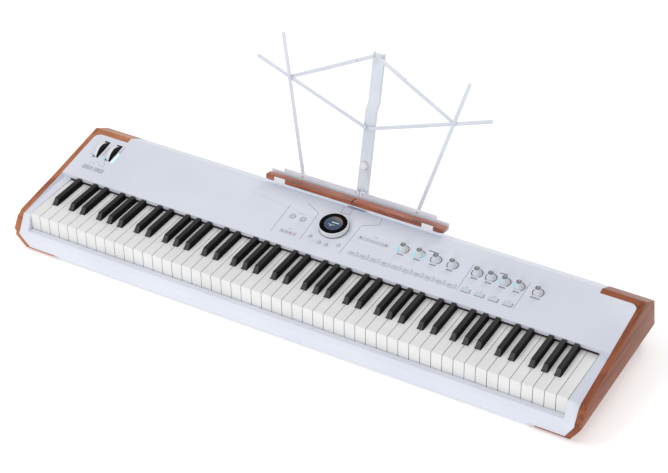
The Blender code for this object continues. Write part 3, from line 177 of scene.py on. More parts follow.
def lamp(name, place, aim, size, watts):
    """A round soft lamp at place, turned to aim."""
    light = bpy.data.lights.new(name, "AREA")
    light.shape = "DISK"
    light.size = size
    light.energy = watts
    made = bpy.data.objects.new(name, light)
    made.location = place
    made.rotation_euler = (Vector(aim) - Vector(place)).to_track_quat("-Z", "Y").to_euler()
    bpy.context.collection.objects.link(made)
    return made


lamp("key_lamp", (-1.5, -1.3, 2.8), (0, 0, 0.1), size=1.6, watts=27.5)
lamp("front_lamp", (0.5, -3.0, 0.9), (0.1, -0.2, 0.05), size=1.5, watts=16)
lamp("back_lamp", (0.6, 2.3, 2.0), (0.1, 0.2, 0.1), size=1.2, watts=17)

CAMERA_PLACE = (1.566518, -2.679812, 2.374525)
CAMERA_RIGHT = Vector((0.868856, 0.494917, -0.012074))
CAMERA_BACK = Vector((0.406626, -0.699520, 0.587645))
FOCAL_PIXELS = 1899.0
PHOTO_WIDTH = 668
SENSOR = 36.0
CLIP_RANGE = (0.1, 60)
lens = bpy.data.cameras.new("camera")
lens.sensor_width = SENSOR
lens.lens = SENSOR * FOCAL_PIXELS / PHOTO_WIDTH
lens.clip_start, lens.clip_end = CLIP_RANGE
camera = bpy.data.objects.new("camera", lens)
camera_up = CAMERA_BACK.cross(CAMERA_RIGHT)
camera.matrix_world = axes_at(CAMERA_PLACE, CAMERA_RIGHT, camera_up, CAMERA_BACK)
bpy.context.collection.objects.link(camera)
bpy.context.scene.camera = camera
bpy.context.scene.view_settings.view_transform = "Standard"


# The top case: one aluminium pressing with the sloping panel, the lip over the keys, the cheeks and
# the front rail, powder coated in a slightly blue white with a fine orange peel.
PANEL_SLOPE = 0.18
PANEL_Z = 13.7 * MM
PANEL_Z_AT = 150 * MM
CASE_TINT = (0.70, 0.725, 0.80)
CASE_TINT_WORN = (0.655, 0.68, 0.765)
EASE_ANGLE = radians(32)
WELD = 0.002 * MM


def coat_look(peel_scale, cloud_scale, tint, wear_and_sheen, low, rough, vary, bump):
    """A sprayed or baked coat: clouds of two tints under a fine orange peel."""
    def look(spot):
        peel = spot.noise(peel_scale, 2)
        cloud = spot.noise(cloud_scale, 3)
        return {"Base Color": cloud.between(low, 0.7).dye(tint, wear_and_sheen), "Roughness": rough + peel * vary,
                "Bump": (peel, bump)}
    return look


def coat(name, *colours, **finish):
    """A coated material."""
    return material(name, coat_look(*colours, **finish))


def softened(node, name, edge, look, body, segments=2, flatten=0.6):
    """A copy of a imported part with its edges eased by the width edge, standing for that part."""
    mesh = nodes[node].data.copy()
    bm = bmesh.new()
    bm.from_mesh(mesh)
    bmesh.ops.remove_doubles(bm, verts=bm.verts, dist=WELD)
    if flatten:
        bmesh.ops.dissolve_limit(bm, angle_limit=radians(flatten), verts=bm.verts, edges=bm.edges)
    for face in bm.faces:
        face.smooth = True
    bm.to_mesh(mesh)
    bm.free()
    mesh.materials.clear()
    mesh.materials.append(look)
    made = bpy.data.objects.new(name, mesh)
    bpy.context.collection.objects.link(made)
    ease = made.modifiers.new("eased_edges", "BEVEL")
    ease.width = edge
    ease.segments = segments
    ease.limit_method = "ANGLE"
    ease.angle_limit = EASE_ANGLE
    ease.harden_normals = True
    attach(made, body)
    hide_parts(node)
    return made


case_coat = coat("case_coat", 420, 5, CASE_TINT, CASE_TINT_WORN, low=0.35, rough=0.36, vary=0.12,
                 bump=0.02 * MM)
softened("top_case", "case_top_shell", 0.7 * MM, case_coat, "case", flatten=0)


# The wooden ends: solid boards with a red-brown stain and satin oil, their long edges rounded,
# screwed on from inside. Each wraps the back corner with a second board, its grain across. The left
# pair is painted paler and the right pair darker, as painted light on the left and painted shade on the
# right.
RIGHT_STAIN_PAINTED_DARKER = ((0.11, 0.026, 0.010), (0.225, 0.058, 0.020), (0.32, 0.092, 0.034))
LEFT_STAIN_PAINTED_LIGHTER = ((0.22, 0.066, 0.030), (0.38, 0.130, 0.055), (0.50, 0.190, 0.085))
WOOD_PORE = (0.045, 0.013, 0.007)
BACK_BOARD_X = 0.634
GRAIN_ALONG = 1.1
GRAIN_ACROSS = 16
FRONT_ROUND = 7 * MM


def oiled_wood(spot):
    """Grain along the side boards, and across on the boards that wrap the back corners."""
    across = spot.part("X").math("ABSOLUTE", spot.part("X")) < BACK_BOARD_X
    grains = (spot.stretched(GRAIN_ACROSS, GRAIN_ALONG, GRAIN_ACROSS),
              spot.stretched(GRAIN_ALONG, GRAIN_ACROSS, GRAIN_ACROSS))
    waves = [grain.noise(5.5, 4, 0.6, 0.9) for grain in grains]
    fibres = [grain.noise(70, 3, 0.7) for grain in grains]
    wave = waves[0] + across * (waves[1] - waves[0])
    fibre = fibres[0] + across * (fibres[1] - fibres[0])
    stains_painted_lighter_and_darker = [wave.node("ShaderNodeValToRGB", {"Fac": wave}, stops=[
        (0.30, dark), (0.45, mid), (0.62, pale), (0.75, mid)])
        for dark, mid, pale in (RIGHT_STAIN_PAINTED_DARKER, LEFT_STAIN_PAINTED_LIGHTER)]
    # Painted light and shade: the boards left of the middle take the paler stain, those on the right the
    # darker one.
    painted_lighter_on_left = spot.part("X") < 0.0
    stain = painted_lighter_on_left.dye(*stains_painted_lighter_and_darker)
    pores = fibre.between(0.60, 0.72)
    return {"Base Color": (pores * 0.55).dye(stain, WOOD_PORE), "Roughness": 0.34 + fibre * 0.14,
            "Coat Weight": 0.04 + pores * 0.04, "Specular IOR Level": 0.22, "Bump": (fibre, 0.05 * MM)}


oak_stain = material("end_wood", oiled_wood)
for side in ("left", "right"):
    board = softened("wood_end_" + side, "wood_board_" + side, 2.0 * MM, oak_stain, "case",
                     segments=3)
    bm = bmesh.new()
    bm.from_mesh(board.data)
    bends = [edge for edge in bm.edges
             if radians(30) < edge.calc_face_angle(0) < radians(70)
             and abs(edge.verts[0].co.x - edge.verts[1].co.x) > 0.95 * edge.calc_length() > 5 * MM
             and all(v.co.y < KEYBED.y + 10 * MM for v in edge.verts)]
    bmesh.ops.bevel(bm, geom=bends, offset=FRONT_ROUND, segments=5, affect="EDGES",
                    clamp_overlap=True)
    for face in bm.faces:
        face.smooth = True
    bm.to_mesh(board.data)
    bm.free()


# The white keys: moulded tops with square fronts, eased edges and notches beside the black keys.
# Satin white on top; the moulded sides that face each other across the gaps are painted dark grey,
# as painted shade in the gaps. The middle octave's keys move one by one, and the others sit on two combs.
KEY_PITCH = 23.5 * MM
KEY_SPACING = 0.9 * MM
WHITE_COUNT = 52
LOWEST_NOTE = 5
WHITE_THICK = 16 * MM
WHITE_FRONT = 42 * MM
WHITE_FRONT_WALL = 2.5 * MM
WHITE_BACK = 151 * MM
WHITE_EASE = 0.8 * MM
BLACK_START = 49.5 * MM
BLACK_BACK = 141 * MM
BLACK_WIDTH = 12.6 * MM
BLACK_TOP_WIDTH = 10.4 * MM
BLACK_HEIGHT = 12.6 * MM
BLACK_DEPTH = 22 * MM
BLACK_SLOPE_RUN = 10 * MM
BLACK_EASE = 1.5 * MM
NOTCH_GAP = 0.8 * MM
BLACK_SHIFT = {"C#": -2.3 * MM, "D#": 2.3 * MM, "F#": -3 * MM, "G#": 0.0, "A#": 3 * MM}
MIDDLE_OCTAVE = 4
SHARP_ANGLE = radians(35)
KEY_EDGE_ANGLE = radians(40)
KEY_WELD = 0.001 * MM


def key_list():
    """Every key in order: its name, its octave, its place across the keybed and whether it is black."""
    keys = []
    for i in range(WHITE_COUNT):
        octave, step = divmod(i + LOWEST_NOTE, 7)
        note = "CDEFGAB"[step]
        x = (i + 0.5 - WHITE_COUNT / 2) * KEY_PITCH
        keys.append((note, octave, x, False))
        sharp = note + "#"
        if sharp in BLACK_SHIFT and i < WHITE_COUNT - 1:
            keys.append((sharp, octave, x + KEY_PITCH / 2 + BLACK_SHIFT[sharp], True))
    return keys


def white_key(bm, x, blacks):
    """One white key added to bm: its slab with the notches, and its front."""
    left = x - (KEY_PITCH - KEY_SPACING) / 2
    right = x + (KEY_PITCH - KEY_SPACING) / 2
    reach = BLACK_WIDTH / 2 + NOTCH_GAP
    back_left = max([left] + [b + reach for b in blacks if x - KEY_PITCH < b < x])
    back_right = min([right] + [b - reach for b in blacks if x < b < x + KEY_PITCH])
    notch = BLACK_START - NOTCH_GAP
    outline = [(right, WHITE_FRONT_WALL), (right, notch)] + [(back_right, notch)] * (back_right < right)
    outline += [(back_right, WHITE_BACK), (back_left, WHITE_BACK)]
    outline += [(back_left, notch)] * (back_left > left) + [(left, notch), (left, WHITE_FRONT_WALL)]
    low = [bm.verts.new((u, v, -WHITE_THICK)) for u, v in outline]
    front = [bm.verts.new((u, 0, -WHITE_THICK)) for u in (left, right)]
    slab = bm.faces.new(low)
    lip = bm.faces.new([low[-1], front[0], front[1], low[0]])
    raised = bmesh.ops.extrude_face_region(bm, geom=[slab, lip], use_keep_orig=True)["geom"]
    tops = [v for v in raised if isinstance(v, bmesh.types.BMVert)]
    bmesh.ops.translate(bm, verts=tops, vec=(0, 0, WHITE_THICK))
    drop = bmesh.ops.extrude_discrete_faces(bm, faces=[lip])["faces"][0]
    bmesh.ops.translate(bm, verts=drop.verts, vec=(0, 0, WHITE_THICK - WHITE_FRONT))


def skin(bm, rings, index=0, closed=False):
    """Joins rings of points with faces, and caps the ends or joins the last ring to the first."""
    bands = list(zip(rings, rings[1:] + rings[:1] * closed))
    numbers = index if isinstance(index, list) else [index] * (len(bands) + 1)
    for number, (first, second) in zip(numbers, bands):
        for i in range(len(first)):
            bm.faces.new((first[i - 1], first[i], second[i], second[i - 1])).material_index = number
    if not closed:
        bm.faces.new(rings[0]).material_index = numbers[0]
        bm.faces.new(rings[-1]).material_index = numbers[-1]


def black_key(bm, x, blacks):
    """One black key added to bm: square below, narrowing above the white tops, with a sloping front."""
    wide = BLACK_WIDTH / 2
    slim = BLACK_TOP_WIDTH / 2
    rings = []
    for half, front, height in ((wide, BLACK_START, -BLACK_DEPTH), (wide, BLACK_START, 0),
                                (slim, BLACK_START + BLACK_SLOPE_RUN, BLACK_HEIGHT)):
        corners = ((-half, front), (half, front), (half, BLACK_BACK), (-half, BLACK_BACK))
        rings.append([bm.verts.new((x + u, v, height)) for u, v in corners])
    skin(bm, rings)


def key_piece(name, body, keys, looks):
    """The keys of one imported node, with their edges eased, as one piece on that node's body."""
    bm = bmesh.new()
    blacks = [x for _, _, x, black in KEYS if black]
    is_black = keys[0][3]
    for _, _, x, _ in keys:
        (black_key if is_black else white_key)(bm, x, blacks)
    bmesh.ops.remove_doubles(bm, verts=bm.verts, dist=KEY_WELD)
    bmesh.ops.recalc_face_normals(bm, faces=bm.faces)
    for face in bm.faces:
        on_top = face.normal.z > (0.8 if is_black else 0.5)
        in_front = face.normal.y < -0.5
        # The sides of both kinds of key take painted-shade materials; the black keys' sloping fronts take
        # a painted highlight.
        if is_black:
            face.material_index = 0 if on_top else 2 if in_front and face.normal.z > 0.2 else 1
        else:
            face.material_index = 0 if on_top or in_front else 1
    lowest = -0.5 * WHITE_THICK
    sharp = [e for e in bm.edges if e.is_manifold and e.calc_face_angle(0) > KEY_EDGE_ANGLE
             and (max(v.co.z for v in e.verts) > lowest or sum(v.co.y for v in e.verts) < MM)]
    ease = BLACK_EASE if is_black else WHITE_EASE
    bmesh.ops.bevel(bm, geom=sharp, offset=ease, segments=3, profile=0.6, affect="EDGES",
                    clamp_overlap=True, material=0)
    bm.transform(Matrix.Translation(KEYBED))
    made = piece(name, bm, body, looks)
    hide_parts(body)


def piece(name, bm, body, looks):
    """Puts a bmesh into the scene as a piece that rides on body, smooth but for its sharp edges."""
    mesh = bpy.data.meshes.new(name)
    bmesh.ops.recalc_face_normals(bm, faces=bm.faces)
    for face in bm.faces:
        face.smooth = True
    bm.to_mesh(mesh)
    bm.free()
    mesh.set_sharp_from_angle(angle=SHARP_ANGLE)
    for look in looks:
        mesh.materials.append(look)
    made = bpy.data.objects.new(name, mesh)
    bpy.context.collection.objects.link(made)
    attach(made, body)
    return made


def even_look(scale, colour, other, rough, vary=0, bump=0, detail=2, grit=0.5, shine=0.5, metal=0):
    """A finish that wavers evenly between two colours, its roughness and height with it."""
    def look(spot):
        haze = spot.noise(scale, detail, grit)
        return {"Base Color": haze.dye(colour, other), "Roughness": rough + haze * vary if vary else rough,
                "Specular IOR Level": shine, "Metallic": metal, "Bump": (haze, bump) if bump else None}
    return look


def even(name, *colours, **finish):
    """A material in one even look."""
    return material(name, even_look(*colours, **finish))


def white_top_look(spot):
    fine = spot.noise(900, 2)
    cloud = spot.noise(18, 3)
    return {"Base Color": cloud.between(0.3, 0.7).dye((0.79, 0.79, 0.785), (0.74, 0.74, 0.735)),
            "Roughness": 0.3 + fine * 0.1, "Bump": (fine, 0.01 * MM)}


def black_look(spot):
    grain = spot.stretched(9, 0.6, 9).noise(160, 3, 0.6)
    return {"Base Color": grain.between(0.4, 0.75).dye((0.005, 0.005, 0.005), (0.012, 0.0115, 0.0115)),
            "Roughness": 0.42 + grain * 0.16, "Specular IOR Level": 0.22, "Bump": (grain, 0.05 * MM)}


# The black keys' sloping fronts: paler than the tops, as a painted highlight, with a random haze over it.
def black_tip_highlight_look(spot):
    wear_and_sheen = spot.noise(150, 3)
    return {"Base Color": wear_and_sheen.between(0.4, 0.7).dye((0.020, 0.020, 0.020), (0.040, 0.039, 0.038)),
            "Roughness": 0.33 + wear_and_sheen * 0.1}


KEYS = key_list()
# The white keys' sides take a dark grey, as painted shade in the gaps between the keys.
white_looks = [material("key_white_top", white_top_look),
               even("key_white_side_painted_shade", 40, (0.20,) * 3, (0.13,) * 3, rough=0.6)]
# The black keys' sides are darker and less shiny than their tops, as painted shade.
black_looks = [material("key_black", black_look),
               even("key_black_side_painted_shade", 220, (0.002,) * 3, (0.005,) * 3, rough=0.6, shine=0.08),
               material("key_black_tip_painted_highlight", black_tip_highlight_look)]
for key in KEYS:
    if key[1] == MIDDLE_OCTAVE:
        name = "key_" + key[0].replace("#", "_sharp").lower() + "4"
        key_piece(name + "_top", name, [key], black_looks if key[3] else white_looks)
for black, looks in ((False, white_looks), (True, black_looks)):
    colour = "black" if black else "white"
    low_keys = [key for key in KEYS if key[3] == black and key[1] < MIDDLE_OCTAVE]
    high_keys = [key for key in KEYS if key[3] == black and key[1] > MIDDLE_OCTAVE]
    key_piece(colour + "_key_tops_low", colour + "_keys_low", low_keys, looks)
    key_piece(colour + "_key_tops_high", colour + "_keys_high", high_keys, looks)


# The felt: a very dark red strip glued along the lip's front face, just above the white keys, that
# hides the gap and hushes the keys as they rise. Its red is made very dark, partly as painted shade of the
# gap under the lip.
FELT_Y = (142.0 * MM, 142.9 * MM)
FELT_Z = (0.7 * MM, 4.6 * MM)
KEYBED_HALF = WHITE_COUNT * KEY_PITCH / 2
FELT_STEPS = 240
FELT_RIPPLE = 0.12 * MM
felt = even("felt", 1500, (0.024, 0.008, 0.009), (0.045, 0.017, 0.018), rough=0.95, bump=0.2 * MM,
            detail=3, grit=0.7)
felt_bm = bmesh.new()
rings = []
for i in range(FELT_STEPS + 1):
    x = -KEYBED_HALF + 2 * KEYBED_HALF * i / FELT_STEPS
    ripple = FELT_RIPPLE * sin(i * 2.4)
    corners = ((FELT_Y[0], FELT_Z[0] + ripple), (FELT_Y[0], FELT_Z[1]), (FELT_Y[1], FELT_Z[1]),
               (FELT_Y[1], FELT_Z[0] + ripple))
    rings.append([felt_bm.verts.new(KEYBED + Vector((x, y, z))) for y, z in corners])
skin(felt_bm, rings)
piece("lip_felt", felt_bm, "case", [felt])


# The panel's printing: fine grey lines between the groups of controls and short plain marks under
# them, screen-printed on the coat, one film thick.
PRINT_LIFT = 0.03 * MM
PRINT_THICK = 0.05 * MM
LINE_WIDTH = 0.7 * MM
MARK_WIDTH = 0.9 * MM
DASH_GAP = 0.8 * MM
PANEL_LEAN = (1 + PANEL_SLOPE ** 2) ** 0.5
PANEL_UP = Vector((0, -PANEL_SLOPE / PANEL_LEAN, 1 / PANEL_LEAN))
PANEL_BACK = Vector((0, 1 / PANEL_LEAN, PANEL_SLOPE / PANEL_LEAN))


def in_mm(*points):
    """Turns points given in millimetres into metres."""
    return [tuple(value * MM for value in point) for point in points]


def on_panel(x, y, lift=0.0):
    """The point of the panel's face at x and y, raised off it by lift."""
    return KEYBED + Vector((x, y, PANEL_Z + PANEL_SLOPE * (y - PANEL_Z_AT))) + PANEL_UP * lift


def panel_frame(x, y, lift=0.0):
    """The frame of a control on the panel: x to the right, y up the slope, z out of the face."""
    return axes_at(on_panel(x, y, lift), (1, 0, 0), PANEL_BACK, PANEL_UP)


def printed_line(bm, points, width=LINE_WIDTH, lift=PRINT_LIFT):
    """A printed line through points on the panel, with square ends."""
    for (x0, y0), (x1, y1) in zip(points, points[1:]):
        run = Vector((x1 - x0, y1 - y0, 0))
        side = Vector((-run.y, run.x, 0)).normalized() * width / 2
        low = [on_panel(x0 + s * side.x, y0 + s * side.y, lift) for s in (-1, 1)]
        high = [on_panel(x1 + s * side.x, y1 + s * side.y, lift) for s in (1, -1)]
        corners = [bm.verts.new(p) for p in low + high]
        film = bm.faces.new(corners)
        film.normal_update()
        if film.normal.z < 0:
            film.normal_flip()
        raised = bmesh.ops.extrude_face_region(bm, geom=[film], use_keep_orig=True)["geom"]
        tops = [v for v in raised if isinstance(v, bmesh.types.BMVert)]
        bmesh.ops.translate(bm, verts=tops, vec=PANEL_UP * PRINT_THICK)


def dashes(bm, x, y, lengths_mm, width=MARK_WIDTH, lift=PRINT_LIFT):
    """A row of short plain dashes, centred on x, where a caption would be."""
    lengths = [length * MM for length in lengths_mm]
    at = x - (sum(lengths) + DASH_GAP * (len(lengths) - 1)) / 2
    for length in lengths:
        printed_line(bm, [(at, y), (at + length, y)], width, lift)
        at += length + DASH_GAP


print_look = even_look(2500, (0.07, 0.073, 0.09), (0.12, 0.125, 0.145), rough=0.55)
KNOB_Y = 229 * MM
CAPTION_Y = 214 * MM
BUTTON_Y = 179 * MM
INSTRUMENT_X = [(149 + 36.6 * i) * MM for i in range(4)]
EFFECT_X = [(313 + 30.3 * i) * MM for i in range(4)]
MASTER_X = 444.3 * MM
EFFECT_BUTTON_X = [(312 + 30.3 * i) * MM for i in range(4)]
SOUND_CAPTION_X = range(62, 290, 24)
CAPTION_WIDTH = 2.3 * MM
PANEL_LINES = (
    ((-126, 167), (-126, 250.5)), ((296, 171), (296, 249)), ((417.5, 171), (419.7, 247.4)),
    ((-94.5, 268.3), (-59.7, 251), (-58.6, 171)),
    ((68.5, 287), (71.6, 270), (48, 259), (41, 256), (38.7, 252), (34.7, 169)),
    ((-18.5, 269.5), (-20, 288)), ((1.3, 272.4), (-0.6, 288)), ((-18.5, 269.5), (1.3, 272.4)))
GROUP_CAPTIONS = (((197.4, 246.8), (219.2, 246.1)), ((353.5, 247.3), (370.1, 248.4)))
print_bm = bmesh.new()
for points in PANEL_LINES:
    printed_line(print_bm, in_mm(*points))
for points in GROUP_CAPTIONS:
    printed_line(print_bm, in_mm(*points), CAPTION_WIDTH)
for x in INSTRUMENT_X + EFFECT_X:
    dashes(print_bm, x, CAPTION_Y, (5.2, 3.6, 3.2), CAPTION_WIDTH)
dashes(print_bm, MASTER_X, CAPTION_Y, (6.4, 4.6, 3.8, 3), CAPTION_WIDTH)
for x in EFFECT_BUTTON_X:
    dashes(print_bm, x, BUTTON_Y + 8 * MM, (2.6, 1.8))
for i, x in enumerate(SOUND_CAPTION_X):
    dashes(print_bm, x * MM, BUTTON_Y - 7 * MM, (2.4, 1.6)[:1 + i % 2], 0.6 * MM)
for x in (-93, 82):
    dashes(print_bm, x * MM, 236 * MM, (4, 2.4, 3), 0.7 * MM)
dashes(print_bm, -91 * MM, 190 * MM, (3, 1.6, 2.4), 0.6 * MM)
piece("panel_print", print_bm, "case", [material("panel_ink", print_look)])


# The light rings: fifteen light pipes set in the panel round each knob, lit green-blue up to where
# the value stands and dark grey from there on.
RING_INNER = 10.4 * MM
RING_OUTER = 12.2 * MM
RING_LIGHTS = 15
RING_START = 225
RING_SPAN = 270
RING_PROUD = 0.25 * MM
PIPE_SHARE = 0.86
PIPE_STEPS = 4


def lit_look(colour, strength):
    def look(spot):
        haze = spot.noise(700, 2)
        return {"Base Color": haze.dye(colour, tuple(0.85 * c for c in colour)), "Roughness": 0.3,
                "Emission Color": haze.dye(colour, tuple(0.8 * c for c in colour)),
                "Emission Strength": strength}
    return look


def pipe(bm, place, start, end, index):
    """One curved light pipe between two angles, its face index for the material."""
    rings = []
    for i in range(PIPE_STEPS + 1):
        a = radians(start + (end - start) * i / PIPE_STEPS)
        flat = ((RING_INNER, 0), (RING_OUTER, 0), (RING_OUTER, RING_PROUD), (RING_INNER, RING_PROUD))
        rings.append([bm.verts.new(place @ Vector((r * cos(a), r * sin(a), z))) for r, z in flat])
    skin(bm, rings, index)


def light_ring(bm, x, lit):
    """The ring of one knob; lit holds the numbers of the pipes that glow, clockwise from lower left."""
    step = RING_SPAN / (RING_LIGHTS - 1)
    half = step * PIPE_SHARE / 2
    for i in range(RING_LIGHTS):
        middle = RING_START - i * step
        pipe(bm, panel_frame(x, KNOB_Y), middle - half, middle + half, 1 if i in lit else 0)


ring_bm = bmesh.new()
LIT = [range(6), [*range(6), *range(10, 15)], [], [], [], [], range(6), range(7), []]
for x, lit in zip(INSTRUMENT_X + EFFECT_X + [MASTER_X], LIT):
    light_ring(ring_bm, x, lit)
dark_light = even("light_off", 900, (0.055, 0.057, 0.068), (0.09, 0.092, 0.105), rough=0.25)
cyan_light = material("light_on", lit_look((0.05, 0.62, 0.68), 0.55))
piece("light_rings", ring_bm, "case", [dark_light, cyan_light])


# The knobs: soft-touch caps moulded with fine grip flutes, a light skirt, a dark grey top with a
# fine hatch and a pointer line, pressed on their encoder shafts.
KNOB_RADIUS = 8 * MM
KNOB_TOP_RADIUS = 5.9 * MM
KNOB_HEIGHT = 14.8 * MM
KNOB_LIFT = 0.3 * MM
KNOB_FLUTES = 36
FLUTE_DEPTH = 0.22 * MM
SKIRT_STEP = 0.5 * MM
SKIRT_EDGE = 0.9 * MM
SKIRT_HEIGHT = 1.3 * MM
POINTER_HALF = 0.5 * MM


def knob_top_look(spot):
    wave = spot.stretched(1, 1, 0).node(
        "ShaderNodeTexWave", {"Scale": 420, "Distortion": 0.4}, bands_direction="DIAGONAL")
    return {"Base Color": wave.dye((0.13, 0.133, 0.145), (0.25, 0.255, 0.27)), "Roughness": 0.45}


def block(bm, place, low, high, index=0):
    """A box between two corners of the given frame."""
    box = Matrix.Translation((low + high) / 2) @ Matrix.Diagonal((*(high - low), 1))
    verts = bmesh.ops.create_cube(bm, size=1, matrix=place @ box)["verts"]
    for face in {face for v in verts for face in v.link_faces}:
        face.material_index = index
    return verts


def near(radius, height, *steps):
    """Profile points that stand off from a radius and a height by steps in millimetres."""
    return [(radius + u * MM, height + v * MM) for u, v in steps]


def spun(bm, place, profile, sides=96, index=0, closed=False, ribs=(), depth=0.0):
    """Turns a profile of (radius, height) round the local z; ribs lists the points cut by ribs."""
    rings = []
    for number, (radius, height) in enumerate(profile):
        ring = []
        for i in range(sides):
            angle = 2 * pi * i / sides
            r = radius - depth * (i % 2) if number in ribs else radius
            ring.append(bm.verts.new(place @ Vector((r * cos(angle), r * sin(angle), height))))
        rings.append(ring)
    skin(bm, rings, index, closed)


def knob_piece(name, x):
    """One fluted knob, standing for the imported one."""
    place = panel_frame(x, KNOB_Y, KNOB_LIFT)
    top = KNOB_HEIGHT - KNOB_LIFT
    waist = KNOB_RADIUS - SKIRT_STEP
    profile = [(KNOB_RADIUS, 0), (KNOB_RADIUS, SKIRT_EDGE), (waist, SKIRT_HEIGHT)]
    for i in range(1, 5):
        radius = waist - (waist - KNOB_TOP_RADIUS - 0.2 * MM) * i / 4
        profile.append((radius, SKIRT_HEIGHT + (top - 2 * SKIRT_HEIGHT) * i / 4))
    profile += near(KNOB_TOP_RADIUS, top, (-0.1, -0.6), (-0.7, 0), (-1.1, 0), (-1.3, -0.3))
    bm = bmesh.new()
    looks = [0] * 7 + [1] * 3
    spun(bm, place, profile, 2 * KNOB_FLUTES, looks, ribs=range(2, 7), depth=FLUTE_DEPTH)
    low = Vector((-POINTER_HALF, KNOB_TOP_RADIUS * 0.15, top - 0.35 * MM))
    high = Vector((POINTER_HALF, KNOB_TOP_RADIUS - 1.0 * MM, top))
    block(bm, place, low, high, 2)
    made = piece(name + "_cap", bm, name, [knob_body, knob_top, knob_pointer])
    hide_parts(name)


knob_body = even("knob_body", 350, (0.78, 0.79, 0.82), (0.70, 0.71, 0.75), rough=0.5, vary=0.1,
                 bump=0.02 * MM)
knob_top = material("knob_top", knob_top_look)
knob_pointer = even("knob_pointer", 900, (0.75, 0.76, 0.8), (0.65, 0.66, 0.7), rough=0.4)
for i, x in enumerate(INSTRUMENT_X):
    knob_piece("instrument_knob_" + str(i + 1), x)
for i, x in enumerate(EFFECT_X):
    knob_piece("effect_knob_" + str(i + 1), x)
knob_piece("master_knob", MASTER_X)


# The display: a black glass face fixed on its stem, with a round colour screen under the glass, and
# a white aluminium ring that turns round it, grooved for the fingers. A black gasket in the undercut
# under the ring and a thin dark ring on the panel round its foot are painted shadow for the gap at the
# ring's foot.
DISPLAY_X = -10 * MM
DISPLAY_Y = 227 * MM
DISPLAY_HEIGHT = 13.3 * MM
RING_RADIUS = 30.5 * MM
GLASS_RADIUS = 29 * MM
SCREEN_RADIUS = 19.4 * MM
STEM_RADIUS = 10 * MM
display_frame = panel_frame(DISPLAY_X, DISPLAY_Y)


def picture_look(spot):
    """The screen's ground: dark blue below, warm brown towards the upper right."""
    centre = KEYBED + Vector((DISPLAY_X, DISPLAY_Y, 0))
    right = (spot.part("X") - centre.x) * (1 / SCREEN_RADIUS)
    up = (spot.part("Y") - centre.y) * (1 / SCREEN_RADIUS)
    haze = spot.noise(260, 2)
    warm = (up + right * 0.35 + haze * 0.25).between(0.35, 1.1)
    cool = (up + haze * 0.3).between(-0.9, 0.6)
    ground = cool.dye((0.010, 0.032, 0.095), (0.030, 0.070, 0.125))
    return {"Base Color": (0.01, 0.01, 0.012), "Roughness": 0.12, "Emission Strength": 0.75,
            "Emission Color": warm.dye(ground, (0.27, 0.17, 0.125))}


ring_bm = bmesh.new()
GROOVES = (4.0 * MM, 6.2 * MM, 8.4 * MM, 10.6 * MM)
outside = in_mm((29.4, 0.5), (29.4, 1.5)) + near(RING_RADIUS, 0, (-0.3, 1.5), (0, 1.9))
for groove in GROOVES:
    outside += near(RING_RADIUS, groove, (0, -0.35), (-0.35, -0.15), (-0.35, 0.15), (0, 0.35))
outside += near(RING_RADIUS, DISPLAY_HEIGHT, (0, -0.45), (-0.35, -0.1))
outside += near(GLASS_RADIUS, DISPLAY_HEIGHT, (0.7, -0.1), (0.3, -0.5))
spun(ring_bm, display_frame, outside, closed=True)
# The black gasket in the ring's undercut: painted shadow for the gap at the ring's foot.
spun(ring_bm, display_frame, in_mm((29.5, 0.45), (30.1, 0.45), (30.1, 1.45), (29.5, 1.45)),
     index=1, closed=True)
ring_metal = even("ring_white_metal", 1400, (0.80, 0.81, 0.83), (0.74, 0.75, 0.78), rough=0.3, vary=0.1,
                  bump=0.01 * MM)
black_gasket_and_shadow = even("black_gasket_and_painted_shadow", 900, (0.020, 0.020, 0.023), (0.035, 0.035, 0.04), rough=0.6)
turning_ring = piece("display_turning_ring", ring_bm, "display_ring", [ring_metal, black_gasket_and_shadow])
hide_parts("display_ring")

glass_top = DISPLAY_HEIGHT - 0.6 * MM
black_glass = even("black_glass", 60, (0.002, 0.002, 0.002), (0.004, 0.004, 0.005), rough=0.05,
                   vary=0.05, detail=3, shine=0.02)
glass_bm = bmesh.new()
spun(glass_bm, display_frame,
     near(GLASS_RADIUS, glass_top, (-0.8, 0), (-0.3, -0.12), (0, -0.5), (0, -3.4))
     + [(STEM_RADIUS, glass_top - 4.4 * MM), (STEM_RADIUS, -12 * MM)])
glass = piece("display_glass_face", glass_bm, "case", [black_glass])
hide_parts("display_glass")

# A thin dark ring on the panel round the ring's foot: a painted shadow.
foot_shadow_bm = bmesh.new()
foot_shadow_ring = near(RING_RADIUS, 0, (0.1, 0), (0.9, 0), (0.9, 0.12), (0.1, 0.12))
spun(foot_shadow_bm, display_frame, foot_shadow_ring, closed=True)
piece("display_foot_painted_shadow", foot_shadow_bm, "case", [black_gasket_and_shadow])

PICTURE_LIFT = 0.03 * MM
picture_bm = bmesh.new()
spun(picture_bm, display_frame, [(SCREEN_RADIUS, glass_top - 0.2 * MM),
                                 (SCREEN_RADIUS, glass_top + PICTURE_LIFT)])
piece("display_picture", picture_bm, "case", [material("screen_picture", picture_look)])


def screen_mark(bm, x, y, wide, tall):
    """A plain bar on the picture, its middle at x and y from the screen's centre."""
    low = Vector((x - wide / 2, y - tall / 2, glass_top + PICTURE_LIFT))
    high = Vector((x + wide / 2, y + tall / 2, glass_top + 2 * PICTURE_LIFT))
    block(bm, display_frame, low, high)


mark_bm = bmesh.new()
screen_mark(mark_bm, 3.2 * MM, 2.6 * MM, 16 * MM, 1.2 * MM)
for i, wide in enumerate((2.6, 1.2, 3.0, 1.8)):
    screen_mark(mark_bm, (-7.4 + 3.6 * i) * MM, (-4.6 + 0.3 * (i % 2)) * MM, wide * MM, 0.9 * MM)
screen_mark(mark_bm, -3.2 * MM, -7.6 * MM, 5.2 * MM, 0.9 * MM)
piece("display_marks", mark_bm, "case", [material("screen_white", lit_look((0.72, 0.86, 0.9), 0.6))])


